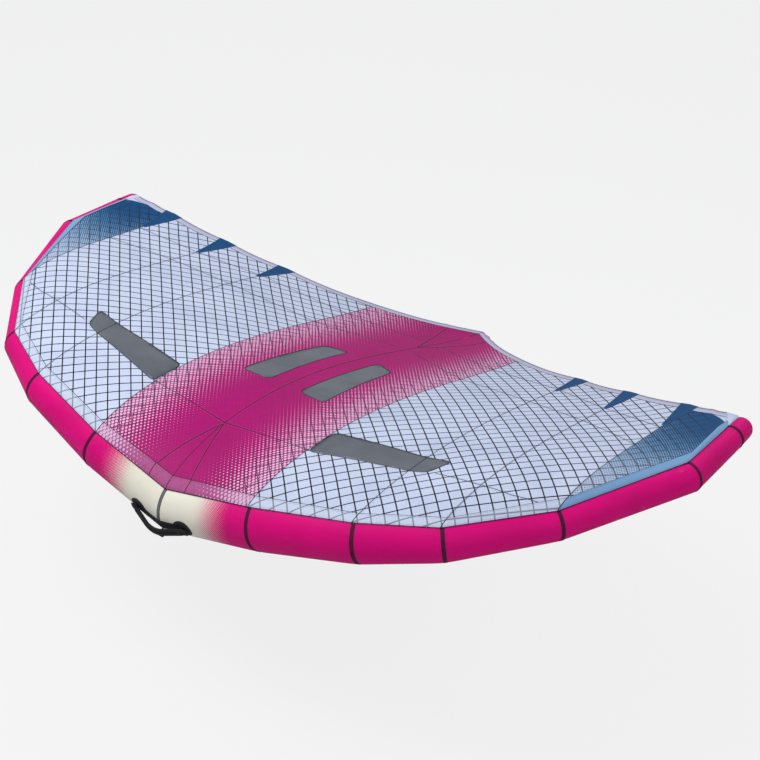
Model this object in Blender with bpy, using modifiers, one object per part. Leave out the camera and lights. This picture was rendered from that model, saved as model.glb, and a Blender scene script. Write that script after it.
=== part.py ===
"""Inflatable hand-held wing for foil boards, built as separate sewn, moulded and bladder pieces.

The origin is the middle of the boom grip, where the rider holds the wing.
+X runs to the wing's own left tip as seen from behind, +Y runs aft and +Z runs up.
Every leading-edge ring, rib, seam and strut ring is worked out from the sizes below.
"""
import math

import bmesh
import bpy
from mathutils import Vector

# Driving sizes, in metres
HALF_SPAN_LENGTH = 1.65
CANOPY_CHORD_LENGTH = 2.19
ARCH_HEIGHT = 0.373
LE_DIAMETER = 0.234
LE_AHEAD_OF_GRIP = 0.7195
LE_ABOVE_GRIP = 0.168
TE_BELOW_ATTACHMENT = 0.130
STRUT_DIAMETER = 0.210
STRUT_NOSE_AHEAD = 0.775
STRUT_LENGTH = 2.222
HAND_ROOM_HEIGHT = 0.0880
BOOM_LENGTH = 0.975
BOOM_TUBE_DIAMETER = 0.0244
BOOM_TUBE_WALL = 0.0018
BOOM_BEND_RADIUS = 0.034
BOOM_SPLAY = 0.020
BOOM_BEND_STEPS = 6
BEND_LIMIT_SHARE = 0.8
BOOM_SIDES = 12
BOOM_PITCH_DEGREES = 1.5
GRIP_WALL = 0.0016
TIP_CAP_LENGTH = 0.127
SKIN = 0.0010
BLADDER_WALL = 0.0008
TAPE_WALL = 0.0006
TAPE_WIDTH = 0.015
GAP = 0.0003
FACET_SAG = 0.0015
CLOTH_EASE = 0.0009
OVERRUN = 0.010
SMOOTH_DEGREES = 40.0

# Leading-edge seams from the centre plane to the tip, as shares of the sizes above
LE_SPAN_SHARES = (0.0, 0.244, 0.486, 0.650, 0.817, 0.967, 0.969)
LE_SWEEP_SHARES = (0.0, 0.006, 0.033, 0.084, 0.212, 0.438, 0.586)
LE_RISE_SHARES = (0.0, 0.229, 0.452, 0.605, 0.760, 0.937, 1.0)
LE_TAPER_SHARES = (1.0, 0.944, 0.803, 0.671, 0.547, 0.491, 0.420)
CAP_SHOULDER_SHARE = 0.66
CAP_TAPER_SHARE = 0.385
CAP_DOME_SHARES = ((0.40, 0.93), (0.72, 0.72), (0.92, 0.42))
ATTACH_DEGREES = (40.0, 37.0, 29.0, 26.0, 18.0, -8.0, -16.0, -18.0)
LE_SIDES = 20
BLADDER_SIDES = 12
CLOSING_SEAM_COLUMN = 8

# Trailing edge at the same seams: out, forward of the centre point and up, as shares
TE_SPAN_SHARES = (0.0, 0.244, 0.488, 0.657, 0.829, 0.894, 0.932, 0.956)
TE_FORWARD_SHARES = (0.0, 0.149, 0.234, 0.283, 0.316, 0.330, 0.343, 0.334)
TE_RISE_SHARES = (0.0, 0.328, 0.649, 0.883, 1.102, 1.192, 1.256, 1.236)
TE_HOLLOW = 0.022
TE_HOLLOW_SHARES = (1.0, 0.8, 0.55, 0.5, 0.3, 0.2, 0.0)

# Camber of each rib: its height and the place of its peak, as shares of the rib's chord
CAMBER_SHARES = (0.0965, 0.072, 0.055, 0.053, 0.0435, 0.020, 0.006, 0.0)
CAMBER_PEAK_SHARES = (0.33, 0.34, 0.38, 0.31, 0.25, 0.25, 0.30, 0.30)
CAMBER_NOSE_POWER = 0.75
PANEL_BILLOW = 0.006
CHORD_STEPS = 12
CHORD_STEP_POWER = 1.45
SEAM_STEPS = 3

# Canopy trims and inlays
DOUBLER_WIDTH = 0.042
HEM_WIDTH = 0.042
STRIP_LIMIT_SHARE = 0.35
STRIP_START_PLACE = 0.004
DART_WIDTH = 0.086
DART_LENGTH = 0.220
DART_TIP_WIDTH = 0.018
DART_ROWS = (2, 3, 4)
WINDOW_CORNER = 0.030
CORNER_STEPS = 3
PRISM_HALF = 0.45
# Window corners in plan: shares of the half span and of the canopy chord behind the attachment
SIDE_WINDOW_SHARES = ((0.2415, 0.158), (0.527, 0.2025), (0.549, 0.252), (0.241, 0.234))
CENTRE_WINDOW_SHARES = ((0.0476, 0.314), (0.128, 0.3075), (0.110, 0.5395), (0.0476, 0.559))

# Strut rings: place along the strut, underside height over the grip and radius, as shares of
# the strut's length, the hand room and half the strut's diameter
STRUT_FRONT_SHARES = (
    (0.000, 0.80, 0.46),
    (0.014, 0.46, 0.72),
    (0.034, 0.31, 0.91),
    (0.061, 0.285, 1.00),
    (0.097, 0.39, 1.02),
    (0.131, 0.505, 1.02),
    (0.180, 0.64, 1.02),
    (0.230, 0.76, 1.015),
    (0.290, 0.895, 1.00),
    (0.359, 1.00, 0.965),
    (0.460, 0.985, 0.955),
    (0.570, 0.915, 0.957),
    (0.640, 0.845, 0.945),
)
# Aft rings hang from the canopy: place along the strut and radius
STRUT_AFT_SHARES = (
    (0.717, 0.862),
    (0.851, 0.600),
    (0.952, 0.443),
)
# Rings of the tail's round end, which sags a little behind the canopy: place and radius
STRUT_TAIL_SHARES = (
    (0.972, 0.410),
    (0.986, 0.320),
    (0.995, 0.185),
)
STRUT_TAIL_SAG = 0.014
STRUT_SEAM_SHARES = (0.131, 0.379, 0.708)
STRUT_SIDES = 20
SADDLE_STEPS = 4
STRUT_BLADDER_START_SHARE = 0.098
STRUT_BLADDER_END_SHARE = 0.966
STRUT_SEAM_LEAN = 0.045
RING_SPACING_SHARE = 0.004
WEB_HEIGHT_STEPS = 4
WEB_TAIL_SHARE = 0.70
WEB_FRONT_DEGREES = 26.0

# Handle on the front of the leading edge
HANDLE_HALF_REACH = 0.105
HANDLE_LOBE_RADIUS = 0.043
HANDLE_BAND_HALF = 0.022
HANDLE_DEGREES = 115.0
HANDLE_PATCH_WALL = 0.0024
LOBE_STEPS = 8
BAND_STEPS = 6
HANDLE_ACROSS = 5
HANDLE_END_SHARE = 0.995
STRAP_HALF_REACH = 0.136
STRAP_LIFT_OFF = 0.116
STRAP_STAND_OFF = 0.028
STRAP_WIDTH = 0.034
STRAP_THICKNESS = 0.018
STRAP_ARCH_POWER = 0.7
STRAP_SECTION_POWER = 0.7
STRAP_STEPS = 20
STRAP_SIDES = 10

# Safety-leash loop under the centre
LEASH_FACET = 7.5
LEASH_LOOP_WIDTH = 0.020
LEASH_LOOP_LENGTH = 0.030
LEASH_LOOP_RADIUS = 0.0075
LEASH_WEBBING = 0.0020
LEASH_ARC_STEPS = 8
LEASH_ROOT_RADIUS = 0.0030
LEASH_HOLE_START = 0.0090
LEASH_HOLE_RADIUS = 0.0012

# Inflation valve, on the rear underside of the leading edge
VALVE_OUT = 0.205
VALVE_DEGREES = -128.0
VALVE_FLANGE_RADIUS = 0.030
VALVE_BODY_RADIUS = 0.0170
VALVE_BORE_RADIUS = 0.0125
VALVE_SEAT_RADIUS = 0.0085
VALVE_BODY_HEIGHT = 0.0120
VALVE_INNER_DEPTH = 0.0100
VALVE_FLANGE_WALL = 0.0020
POPPET_RADIUS = 0.0110
POPPET_WALL = 0.0020
POPPET_STEM_RADIUS = 0.0025
POPPET_TRAVEL_ROOM = 0.0060
CAP_CLEARANCE = 0.0018
CAP_WALL = 0.0022
CAP_SKIRT = 0.0060
CAP_EDGE = 0.0012
CAP_LUG_REACH = 0.0300
CAP_LUG_WIDTH = 0.0070
CAP_LUG_RADIUS = 0.0016
VALVE_SIDES = 20

# Link tube between the leading-edge bladder and the strut bladder
LINK_OFFSET = 0.040
LINK_RADIUS = 0.0090
LINK_WALL = 0.0015
LINK_REACH = 0.012
LINK_SIDES = 12

# Boom sockets and cross bolts
SOCKET_FLANGE_RADIUS = 0.0200
SOCKET_FLANGE_WALL = 0.0030
SOCKET_TRIM = 0.010
SOCKET_SPIGOT_LENGTH = 0.016
SOCKET_SIDES = 16
SOCKET_CORE_REACH = 0.060
SCREW_HEAD_RADIUS = 0.0042
SCREW_HEAD_HEIGHT = 0.0018
SCREW_SHANK_RADIUS = 0.0020
SCREW_HOLE_EASE = 0.0003
SCREW_RIM_SHARE = 0.6
SCREW_SIDES = 12
SCREW_BELOW_FLANGE = 0.009

UP = Vector((0.0, 0.0, 1.0))
CAMBER_DELTA = 0.004
LE_CENTRE = Vector((0.0, -LE_AHEAD_OF_GRIP, LE_ABOVE_GRIP))
LE_RADIUS = LE_DIAMETER / 2
STRUT_RADIUS = STRUT_DIAMETER / 2
TAPE_TOP = GAP + TAPE_WALL
CANOPY_LIFT = TAPE_TOP + GAP + SKIN / 2 + CLOTH_EASE
STRUT_TOP_ROOM = SKIN / 2 + GAP + TAPE_TOP + CLOTH_EASE

COLOURS = {
    "magenta_dacron": ((0.78, 0.0, 0.17), 0.45, 0.0),
    "cream_dacron": ((0.80, 0.78, 0.66), 0.45, 0.0),
    "grid_ripstop": ((0.62, 0.66, 0.80), 0.50, 0.0),
    "blue_ripstop": ((0.02, 0.10, 0.24), 0.50, 0.0),
    "doubler_cloth": ((0.38, 0.44, 0.62), 0.50, 0.0),
    "hem_cloth": ((0.48, 0.50, 0.60), 0.55, 0.0),
    "window_film": ((0.14, 0.16, 0.20), 0.12, 0.0),
    "seam_tape": ((0.10, 0.10, 0.12), 0.55, 0.0),
    "bladder_tpu": ((0.75, 0.78, 0.80), 0.30, 0.0),
    "black_eva": ((0.012, 0.012, 0.013), 0.70, 0.0),
    "black_webbing": ((0.010, 0.010, 0.011), 0.75, 0.0),
    "black_nylon": ((0.015, 0.015, 0.016), 0.40, 0.0),
    "grey_nylon": ((0.20, 0.21, 0.22), 0.40, 0.0),
    "carbon_tube": ((0.018, 0.018, 0.020), 0.30, 0.0),
    "stainless": ((0.60, 0.60, 0.62), 0.25, 1.0),
}


def clear_scene():
    """Remove what the file holds, and return the collections for the parts and the cutters."""
    for old in list(bpy.data.objects):
        bpy.data.objects.remove(old, do_unlink=True)
    parts = bpy.data.collections.new("foil_wing")
    cutters = bpy.data.collections.new("cutters")
    bpy.context.scene.collection.children.link(parts)
    bpy.context.scene.collection.children.link(cutters)
    return parts, cutters


def make_materials():
    """One Principled material for each cloth, moulding and metal."""
    made = {}
    for name, (colour, roughness, metallic) in COLOURS.items():
        mat = bpy.data.materials.new(name)
        mat.use_nodes = True
        shader = mat.node_tree.nodes["Principled BSDF"]
        shader.inputs["Base Color"].default_value = (*colour, 1.0)
        shader.inputs["Roughness"].default_value = roughness
        shader.inputs["Metallic"].default_value = metallic
        mat.diffuse_color = (*colour, 1.0)
        made[name] = mat
    return made


PARTS, CUTTERS = clear_scene()
MATERIALS = make_materials()


def mix(a, b, share):
    """The value or point that lies a share of the way from a to b."""
    return a + (b - a) * share


def between(values, place):
    """Read a table at a fractional place."""
    first = min(int(place), len(values) - 2)
    return mix(values[first], values[first + 1], place - first)


def add_object(name, bm, material, smooth=True):
    """Turn a bmesh into a named part."""
    bmesh.ops.recalc_face_normals(bm, faces=bm.faces)
    mesh = bpy.data.meshes.new(name)
    bm.to_mesh(mesh)
    bm.free()
    obj = bpy.data.objects.new(name, mesh)
    if material is None:
        CUTTERS.objects.link(obj)
        obj.hide_render = True
        obj.display_type = "WIRE"
    else:
        PARTS.objects.link(obj)
        mesh.materials.append(MATERIALS[material])
        if smooth:
            mesh.shade_smooth()
            mesh.set_sharp_from_angle(angle=math.radians(SMOOTH_DEGREES))
    return obj


def skin_rows(bm, rows, wrap):
    """Join rows of points with quads; a wrapped row is a closed ring."""
    made = [[bm.verts.new(point) for point in row] for row in rows]
    for low, high in zip(made, made[1:]):
        count = len(low)
        for i in range(count if wrap else count - 1):
            j = (i + 1) % count
            bm.faces.new((low[i], low[j], high[j], high[i]))
    return made


def mirrored(rows, side):
    """The rows as they are on the right, or mirrored to the left."""
    return [[Vector((point.x * side, point.y, point.z)) for point in row] for row in rows]


def sheet(name, rows, material, wall, wrap=False, offset=0.0):
    """An open lofted surface with a wall: a cloth panel or an open sleeve."""
    bm = bmesh.new()
    skin_rows(bm, rows, wrap)
    bmesh.ops.recalc_face_normals(bm, faces=bm.faces)
    if wrap:
        point_rings_outward(bm, rows)
    mesh = bpy.data.meshes.new(name)
    bm.to_mesh(mesh)
    bm.free()
    obj = bpy.data.objects.new(name, mesh)
    PARTS.objects.link(obj)
    mesh.materials.append(MATERIALS[material])
    mesh.shade_smooth()
    mesh.set_sharp_from_angle(angle=math.radians(SMOOTH_DEGREES))
    shell = obj.modifiers.new("wall", "SOLIDIFY")
    shell.thickness = wall
    shell.offset = offset
    shell.use_even_offset = True
    return obj


def point_rings_outward(bm, rows):
    """Turn the faces of an open sleeve away from its axis."""
    middle = sum(rows[0], Vector()) / len(rows[0])
    bm.faces.ensure_lookup_table()
    face = bm.faces[0]
    outward = face.calc_center_median() - middle
    if face.normal.dot(outward) < 0:
        bmesh.ops.reverse_faces(bm, faces=bm.faces)


def sleeve(name, outer, inner, material):
    """An open sleeve between matching outer and inner rings, with flat rims in its seam planes."""
    bm = bmesh.new()
    loop = outer + inner[::-1] + [outer[0]]
    made = skin_rows(bm, loop, True)
    bmesh.ops.weld_verts(bm, targetmap=dict(zip(made[-1], made[0])))
    return add_object(name, bm, material)


def closed_loft(name, rings, material):
    """A solid lofted through rings, with a flat cap at each end."""
    bm = bmesh.new()
    made = skin_rows(bm, rings, True)
    bm.faces.new(made[0])
    bm.faces.new(made[-1])
    return add_object(name, bm, material)


def hollow_bag(name, rings, material, wall):
    """A closed bladder: a loft with capped ends and a wall inside it."""
    obj = closed_loft(name, rings, material)
    shell = obj.modifiers.new("wall", "SOLIDIFY")
    shell.thickness = wall
    shell.offset = -1.0
    return obj


def boolean(obj, cutter, operation="DIFFERENCE"):
    """Cut or keep what a cutter covers."""
    cut = obj.modifiers.new("cut", "BOOLEAN")
    cut.operation = operation
    cut.object = cutter
    cut.solver = "EXACT"


def turned(name, profile, material, sides, place, axis):
    """A turned piece: a closed profile of radius and height, spun about its own axis."""
    turn = axis.to_track_quat("Z", "Y").to_matrix()
    bm = bmesh.new()
    rings = []
    for radius, height in profile:
        ring = []
        if radius == 0.0:
            ring.append(bm.verts.new(place + turn @ Vector((0.0, 0.0, height))))
        else:
            for i in range(sides):
                angle = 2 * math.pi * i / sides
                local = Vector((radius * math.cos(angle), radius * math.sin(angle), height))
                ring.append(bm.verts.new(place + turn @ local))
        rings.append(ring)
    closed = profile[0][0] > 0.0
    pairs = list(zip(rings, rings[1:]))
    if closed:
        pairs.append((rings[-1], rings[0]))
    for low, high in pairs:
        for i in range(sides):
            j = (i + 1) % sides
            if len(low) == 1:
                bm.faces.new((low[0], high[j], high[i]))
            elif len(high) == 1:
                bm.faces.new((low[i], low[j], high[0]))
            else:
                bm.faces.new((low[i], low[j], high[j], high[i]))
    return add_object(name, bm, material)


def rod(name, start, end, radius, material, sides):
    """A plain round rod or a round cutter between two points."""
    axis = (end - start).normalized()
    length = (end - start).length
    profile = ((0.0, 0.0), (radius, 0.0), (radius, length), (0.0, length))
    return turned(name, profile, material, sides, start, axis)


# Leading edge

def le_stations():
    """Centre and radius of the tube at each seam and at the shoulder of the tip cap."""
    stations = []
    for out, back, rise, taper in zip(LE_SPAN_SHARES, LE_SWEEP_SHARES, LE_RISE_SHARES, LE_TAPER_SHARES):
        centre = LE_CENTRE + Vector((out * HALF_SPAN_LENGTH, back * CANOPY_CHORD_LENGTH, rise * ARCH_HEIGHT))
        stations.append((centre, taper * LE_RADIUS))
    along = (stations[-1][0] - stations[-2][0]).normalized()
    shoulder = stations[-1][0] + along * (TIP_CAP_LENGTH * CAP_SHOULDER_SHARE)
    stations.append((shoulder, CAP_TAPER_SHARE * LE_RADIUS))
    return stations


STATIONS = le_stations()
SHOULDER = len(STATIONS) - 1
LAST_SEAM = SHOULDER - 1


def le_normal(index):
    """Direction square to the seam at a station; seams lie halfway between their two panels."""
    if index == 0:
        return Vector((1.0, 0.0, 0.0))
    before = (STATIONS[index][0] - STATIONS[index - 1][0]).normalized()
    if index == len(STATIONS) - 1:
        return before
    after = (STATIONS[index + 1][0] - STATIONS[index][0]).normalized()
    return (before + after).normalized()


def le_point(place, degrees, lift=0.0):
    """A point on the tube: place counts seams, degrees turn from the top towards the front."""
    first = min(int(place), len(STATIONS) - 2)
    share = place - first
    low = le_ring_point(first, degrees, lift)
    high = le_ring_point(first + 1, degrees, lift)
    return mix(low, high, share)


def le_ring_point(index, degrees, lift):
    """A point of one seam ring."""
    centre, radius = STATIONS[index]
    normal = le_normal(index)
    top = (UP - normal * UP.dot(normal)).normalized()
    outer = normal.cross(top)
    angle = math.radians(degrees)
    return centre + (top * math.cos(angle) + outer * math.sin(angle)) * (radius + lift)


def le_axis(place):
    """Centre line of the tube."""
    first = min(int(place), len(STATIONS) - 2)
    return mix(STATIONS[first][0], STATIONS[first + 1][0], place - first)


def le_ring(place, lift=0.0, sides=LE_SIDES):
    """A whole ring of the tube at a fractional seam place."""
    return [le_point(place, 360.0 * i / sides, lift) for i in range(sides)]


def shifted_place(place, distance):
    """The place that lies a distance along the tube from a seam."""
    first = int(place) if distance >= 0 else int(place) - 1
    length = (STATIONS[first + 1][0] - STATIONS[first][0]).length
    return place + distance / length


def build_le_panels():
    """Sleeve panels between neighbouring seams on each side."""
    for side, hand in ((1, "left"), (-1, "right")):
        for index in range(LAST_SEAM):
            start = shifted_place(float(index), GAP / 2)
            end = shifted_place(float(index + 1), -GAP / 2)
            outer = mirrored([le_ring(start), le_ring(end)], side)
            inner = mirrored([le_ring(start, -SKIN), le_ring(end, -SKIN)], side)
            colour = "cream_dacron" if index == 0 else "magenta_dacron"
            sleeve(f"le_panel_{index + 1}_{hand}", outer, inner, colour)


def tip_rings(lift, sides=LE_SIDES):
    """Rings of the tip cap from its seam to near its pole."""
    rings = [le_ring(shifted_place(float(LAST_SEAM), GAP / 2), lift, sides)]
    rings.append(le_ring(float(SHOULDER), lift, sides))
    shoulder, radius = STATIONS[-1]
    along = le_normal(SHOULDER)
    dome = TIP_CAP_LENGTH * (1 - CAP_SHOULDER_SHARE) + lift
    for ahead, width in CAP_DOME_SHARES:
        centre = shoulder + along * (dome * ahead)
        ring = le_ring(float(SHOULDER), lift, sides)
        rings.append([centre + (point - shoulder) * width for point in ring])
    return rings, shoulder + along * dome


def build_tip_caps():
    """Domed tip caps, open only at their seam."""
    for side, hand in ((1, "left"), (-1, "right")):
        rings, pole = tip_rings(0.0)
        bm = bmesh.new()
        made = skin_rows(bm, mirrored(rings, side), True)
        last = bm.verts.new(Vector((pole.x * side, pole.y, pole.z)))
        for i in range(LE_SIDES):
            bm.faces.new((made[-1][i], made[-1][(i + 1) % LE_SIDES], last))
        bmesh.ops.recalc_face_normals(bm, faces=bm.faces)
        point_rings_outward(bm, mirrored(rings, side))
        mesh = bpy.data.meshes.new(f"le_tip_cap_{hand}")
        bm.to_mesh(mesh)
        bm.free()
        obj = bpy.data.objects.new(f"le_tip_cap_{hand}", mesh)
        PARTS.objects.link(obj)
        mesh.materials.append(MATERIALS["magenta_dacron"])
        mesh.shade_smooth()
        shell = obj.modifiers.new("wall", "SOLIDIFY")
        shell.thickness = SKIN
        shell.offset = -1.0


def tape_net(name, rows, bands, columns):
    """Tape bands all round at the seams, tied by a strip along the closing seam, as one piece."""
    bm = bmesh.new()
    made = [[bm.verts.new(point) for point in row] for row in rows]
    for index, (low, high) in enumerate(zip(made, made[1:])):
        count = len(low)
        for i in range(count) if index in bands else columns:
            j = (i + 1) % count
            bm.faces.new((low[i], low[j], high[j], high[i]))
    loose = [vert for vert in bm.verts if not vert.link_faces]
    bmesh.ops.delete(bm, geom=loose, context="VERTS")
    bmesh.ops.recalc_face_normals(bm, faces=bm.faces)
    bm.faces.ensure_lookup_table()
    first = bm.faces[0]
    middle = sum(rows[0], Vector()) / len(rows[0])
    if first.normal.dot(first.calc_center_median() - middle) < 0:
        bmesh.ops.reverse_faces(bm, faces=bm.faces)
    mesh = bpy.data.meshes.new(name)
    bm.to_mesh(mesh)
    bm.free()
    obj = bpy.data.objects.new(name, mesh)
    PARTS.objects.link(obj)
    mesh.materials.append(MATERIALS["seam_tape"])
    mesh.shade_smooth()
    mesh.set_sharp_from_angle(angle=math.radians(SMOOTH_DEGREES))
    shell = obj.modifiers.new("wall", "SOLIDIFY")
    shell.thickness = TAPE_WALL
    shell.offset = 1.0


def build_le_tapes():
    """A tape over each seam from tip to tip and one along the closing seam underneath."""
    half = [le_ring(0.0, GAP), le_ring(shifted_place(0.0, TAPE_WIDTH / 2), GAP)]
    for index in range(1, LAST_SEAM + 1):
        half.append(le_ring(float(index), GAP))
        half.append(le_ring(shifted_place(float(index), TAPE_WIDTH), GAP))
    rows = mirrored(half[1:], -1)[::-1] + half
    bands = [len(half) - 2 - 2 * index for index in range(LAST_SEAM + 1)]
    bands += [len(half) - 1 + 2 * index for index in range(LAST_SEAM + 1)]
    tape_net("le_seam_tapes", rows, bands, (CLOSING_SEAM_COLUMN,))


def build_le_bladder():
    """One bladder from tip to tip, inside the sleeve."""
    inset = -(SKIN + GAP + FACET_SAG)
    rings, pole = tip_rings(inset, BLADDER_SIDES)
    half = [le_ring(float(i), inset, BLADDER_SIDES) for i in range(LAST_SEAM + 1)] + rings[1:]
    left = mirrored(half[1:], -1)[::-1]
    bag = hollow_bag("le_bladder", left + half, "bladder_tpu", BLADDER_WALL)
    return bag


# Canopy

def te_point(place):
    """Trailing edge at a fractional seam place, drawn in between seams."""
    out = between(TE_SPAN_SHARES, place) * HALF_SPAN_LENGTH
    forward = between(TE_FORWARD_SHARES, place) * CANOPY_CHORD_LENGTH
    rise = between(TE_RISE_SHARES, place) * ARCH_HEIGHT
    root = le_point(0.0, ATTACH_DEGREES[0], CANOPY_LIFT)
    first = min(int(place), len(TE_HOLLOW_SHARES) - 1)
    hollow = TE_HOLLOW * TE_HOLLOW_SHARES[first] * math.sin(math.pi * (place - first))
    aft = root.y + CANOPY_CHORD_LENGTH - forward - hollow
    return Vector((out, aft, root.z - TE_BELOW_ATTACHMENT + rise))


def attach_point(place):
    """Line on the leading edge where the canopy is sewn."""
    first = min(int(place), len(STATIONS) - 2)
    low = le_ring_point(first, ATTACH_DEGREES[first], CANOPY_LIFT)
    high = le_ring_point(first + 1, ATTACH_DEGREES[first + 1], CANOPY_LIFT)
    return mix(low, high, place - first)


def camber_shape(share, peak):
    """Unit camber curve with a steep nose and its top at the peak."""
    tail_power = CAMBER_NOSE_POWER * (1 - peak) / peak
    top = peak ** CAMBER_NOSE_POWER * (1 - peak) ** tail_power
    share = min(max(share, 0.0), 1.0)
    return share ** CAMBER_NOSE_POWER * (1 - share) ** tail_power / top


def canopy_flat_point(place, share):
    """A point on the middle of the cloth; share runs along the rib from front to rear."""
    front = attach_point(place)
    rear = te_point(place)
    chord = (rear - front).length
    shape = camber_shape(share, between(CAMBER_PEAK_SHARES, place))
    height = between(CAMBER_SHARES, place) * chord * shape
    first = min(int(place), len(TE_HOLLOW_SHARES) - 1)
    billow = PANEL_BILLOW * math.sin(math.pi * (place - first)) * shape
    return mix(front, rear, share) + UP * (height + billow)


def canopy_point(place, share, lift=0.0):
    """A point of the cloth, moved off it square to its surface."""
    point = canopy_flat_point(place, share)
    if lift == 0.0:
        return point
    fore = canopy_flat_point(place, max(share - CAMBER_DELTA, 0.0))
    aft = canopy_flat_point(place, min(share + CAMBER_DELTA, 1.0))
    inner = canopy_flat_point(max(place - CAMBER_DELTA, 0.0), share)
    across = canopy_flat_point(place + CAMBER_DELTA, share) - inner
    normal = across.cross(aft - fore).normalized()
    return point + normal * (lift if normal.z > 0 else -lift)


def rib_shares(place):
    """Places along a rib: the doubler's edge, steps that open out aft, and the hem's edge."""
    chord = (te_point(place) - attach_point(place)).length
    front = min(DOUBLER_WIDTH / chord, STRIP_LIMIT_SHARE)
    rear = 1 - min(HEM_WIDTH / chord, STRIP_LIMIT_SHARE)
    steps = CHORD_STEPS - 2
    inner = [mix(front, rear, (i / steps) ** CHORD_STEP_POWER) for i in range(steps + 1)]
    return [0.0] + inner + [1.0]


def canopy_height(aft):
    """Height of the cloth's centre line at a distance aft of the grip, along its facets."""
    line = [canopy_flat_point(0.0, share) for share in rib_shares(0.0)]
    for low, high in zip(line, line[1:]):
        if aft <= high.y:
            return mix(low.z, high.z, (aft - low.y) / (high.y - low.y))
    return line[-1].z


def drawn_in(rows):
    """Pull the two edge rows of a panel back, so that neighbours keep a gap."""
    rows = [list(row) for row in rows]
    for edge, inner in ((0, 1), (-1, -2)):
        for i, point in enumerate(rows[edge]):
            towards = rows[inner][i] - point
            if towards.length > 0:
                rows[edge][i] = point + towards.normalized() * (GAP / 2 + SKIN / 4)
    return rows


def canopy_rows(start, end, steps):
    """Rows of a panel between two seam places."""
    places = [mix(start, end, i / steps) for i in range(steps + 1)]
    return [[canopy_point(place, share) for share in rib_shares(place)] for place in places]


PANELS = (
    ("canopy_centre", 0.0, 1.0, "magenta_dacron", SEAM_STEPS),
    ("canopy_inner", 1.0, 2.0, "grid_ripstop", SEAM_STEPS),
    ("canopy_middle", 2.0, 3.0, "grid_ripstop", SEAM_STEPS),
    ("canopy_outer", 3.0, 4.0, "grid_ripstop", SEAM_STEPS),
    ("canopy_tip", 4.0, 7.0, "blue_ripstop", 3 * SEAM_STEPS),
)


def plan_corner(out_share, chord_share, side):
    """A window corner in plan."""
    aft = attach_point(0.0).y + chord_share * CANOPY_CHORD_LENGTH
    return Vector((out_share * HALF_SPAN_LENGTH * side, aft, 0.0))


def grown(corners, distance):
    """A convex outline with every side moved out by a distance, or in when it is negative."""
    count = len(corners)
    middle = sum(corners, Vector()) / count
    sides = []
    for i in range(count):
        a = corners[i]
        b = corners[(i + 1) % count]
        along = (b - a).normalized()
        out = Vector((along.y, -along.x, 0.0))
        if out.dot(a - middle) < 0:
            out = -out
        sides.append((a + out * distance, along))
    made = []
    for i in range(count):
        point, along = sides[i - 1]
        other, direction = sides[i]
        cross = along.x * direction.y - along.y * direction.x
        offset = other - point
        reach = (offset.x * direction.y - offset.y * direction.x) / cross
        made.append(point + along * reach)
    return made


def rounded(corners, radius):
    """An outline with its corners eased by curves."""
    count = len(corners)
    made = []
    for i in range(count):
        corner = corners[i]
        before = corner + (corners[i - 1] - corner).normalized() * radius
        after = corner + (corners[(i + 1) % count] - corner).normalized() * radius
        for step in range(CORNER_STEPS + 1):
            share = step / CORNER_STEPS
            made.append(mix(mix(before, corner, share), mix(corner, after, share), share))
    return made


def prism(name, outline, middle_height):
    """An upright cutter with a plan outline."""
    curve = bpy.data.curves.new(name, "CURVE")
    curve.dimensions = "2D"
    curve.fill_mode = "BOTH"
    curve.extrude = PRISM_HALF
    spline = curve.splines.new("POLY")
    spline.points.add(len(outline) - 1)
    for point, place in zip(spline.points, outline):
        point.co = (place.x, place.y, 0.0, 1.0)
    spline.use_cyclic_u = True
    shape = bpy.data.objects.new(name, curve)
    CUTTERS.objects.link(shape)
    shape.location = (0.0, 0.0, middle_height)
    bpy.context.view_layer.update()
    graph = bpy.context.evaluated_depsgraph_get()
    mesh = bpy.data.meshes.new_from_object(shape.evaluated_get(graph))
    mesh.transform(shape.matrix_world)
    bm = bmesh.new()
    bm.from_mesh(mesh)
    bmesh.ops.remove_doubles(bm, verts=bm.verts, dist=GAP / 3)
    bpy.data.objects.remove(shape, do_unlink=True)
    return add_object(name, bm, None)


def dart_corners(row, side):
    """Plan corners of a dart: its point on the seam and its base just past the trailing edge."""
    rear = te_point(float(row))
    front = attach_point(float(row))
    along = front - rear
    along.z = 0.0
    along.normalize()
    before = te_point(row - 1 / SEAM_STEPS)
    after = te_point(row + 1 / SEAM_STEPS)
    across = after - before
    across.z = 0.0
    across.normalize()
    tip = rear + along * DART_LENGTH
    reach = (DART_LENGTH + OVERRUN * 3) / DART_LENGTH
    made = []
    for hand in (-1, 1):
        end = tip + across * (hand * DART_TIP_WIDTH / 2)
        base = rear + across * (hand * DART_WIDTH / 2)
        edge = [end + (base - end) * reach, end]
        made += edge if hand < 0 else edge[::-1]
    return [Vector((point.x * side, point.y, 0.0)) for point in made]


def grid_places(last):
    """Seam places of the panels' own rows, so that a strip lies flat on them."""
    steps = last * SEAM_STEPS
    return [max(last * i / steps, STRIP_START_PLACE) for i in range(steps + 1)]


def build_canopy():
    """Panels with their window and dart openings, the inlays, the front doubler and the rear hem."""
    for side, hand in ((1, "left"), (-1, "right")):
        panels = {}
        for name, start, end, colour, steps in PANELS:
            rows = drawn_in(canopy_rows(start, end, steps))
            panels[name] = sheet(f"{name}_{hand}", mirrored(rows, side), colour, SKIN)
        add_windows(panels, side, hand)
        add_darts(panels, side, hand)
        add_strips(side, hand)


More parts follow.
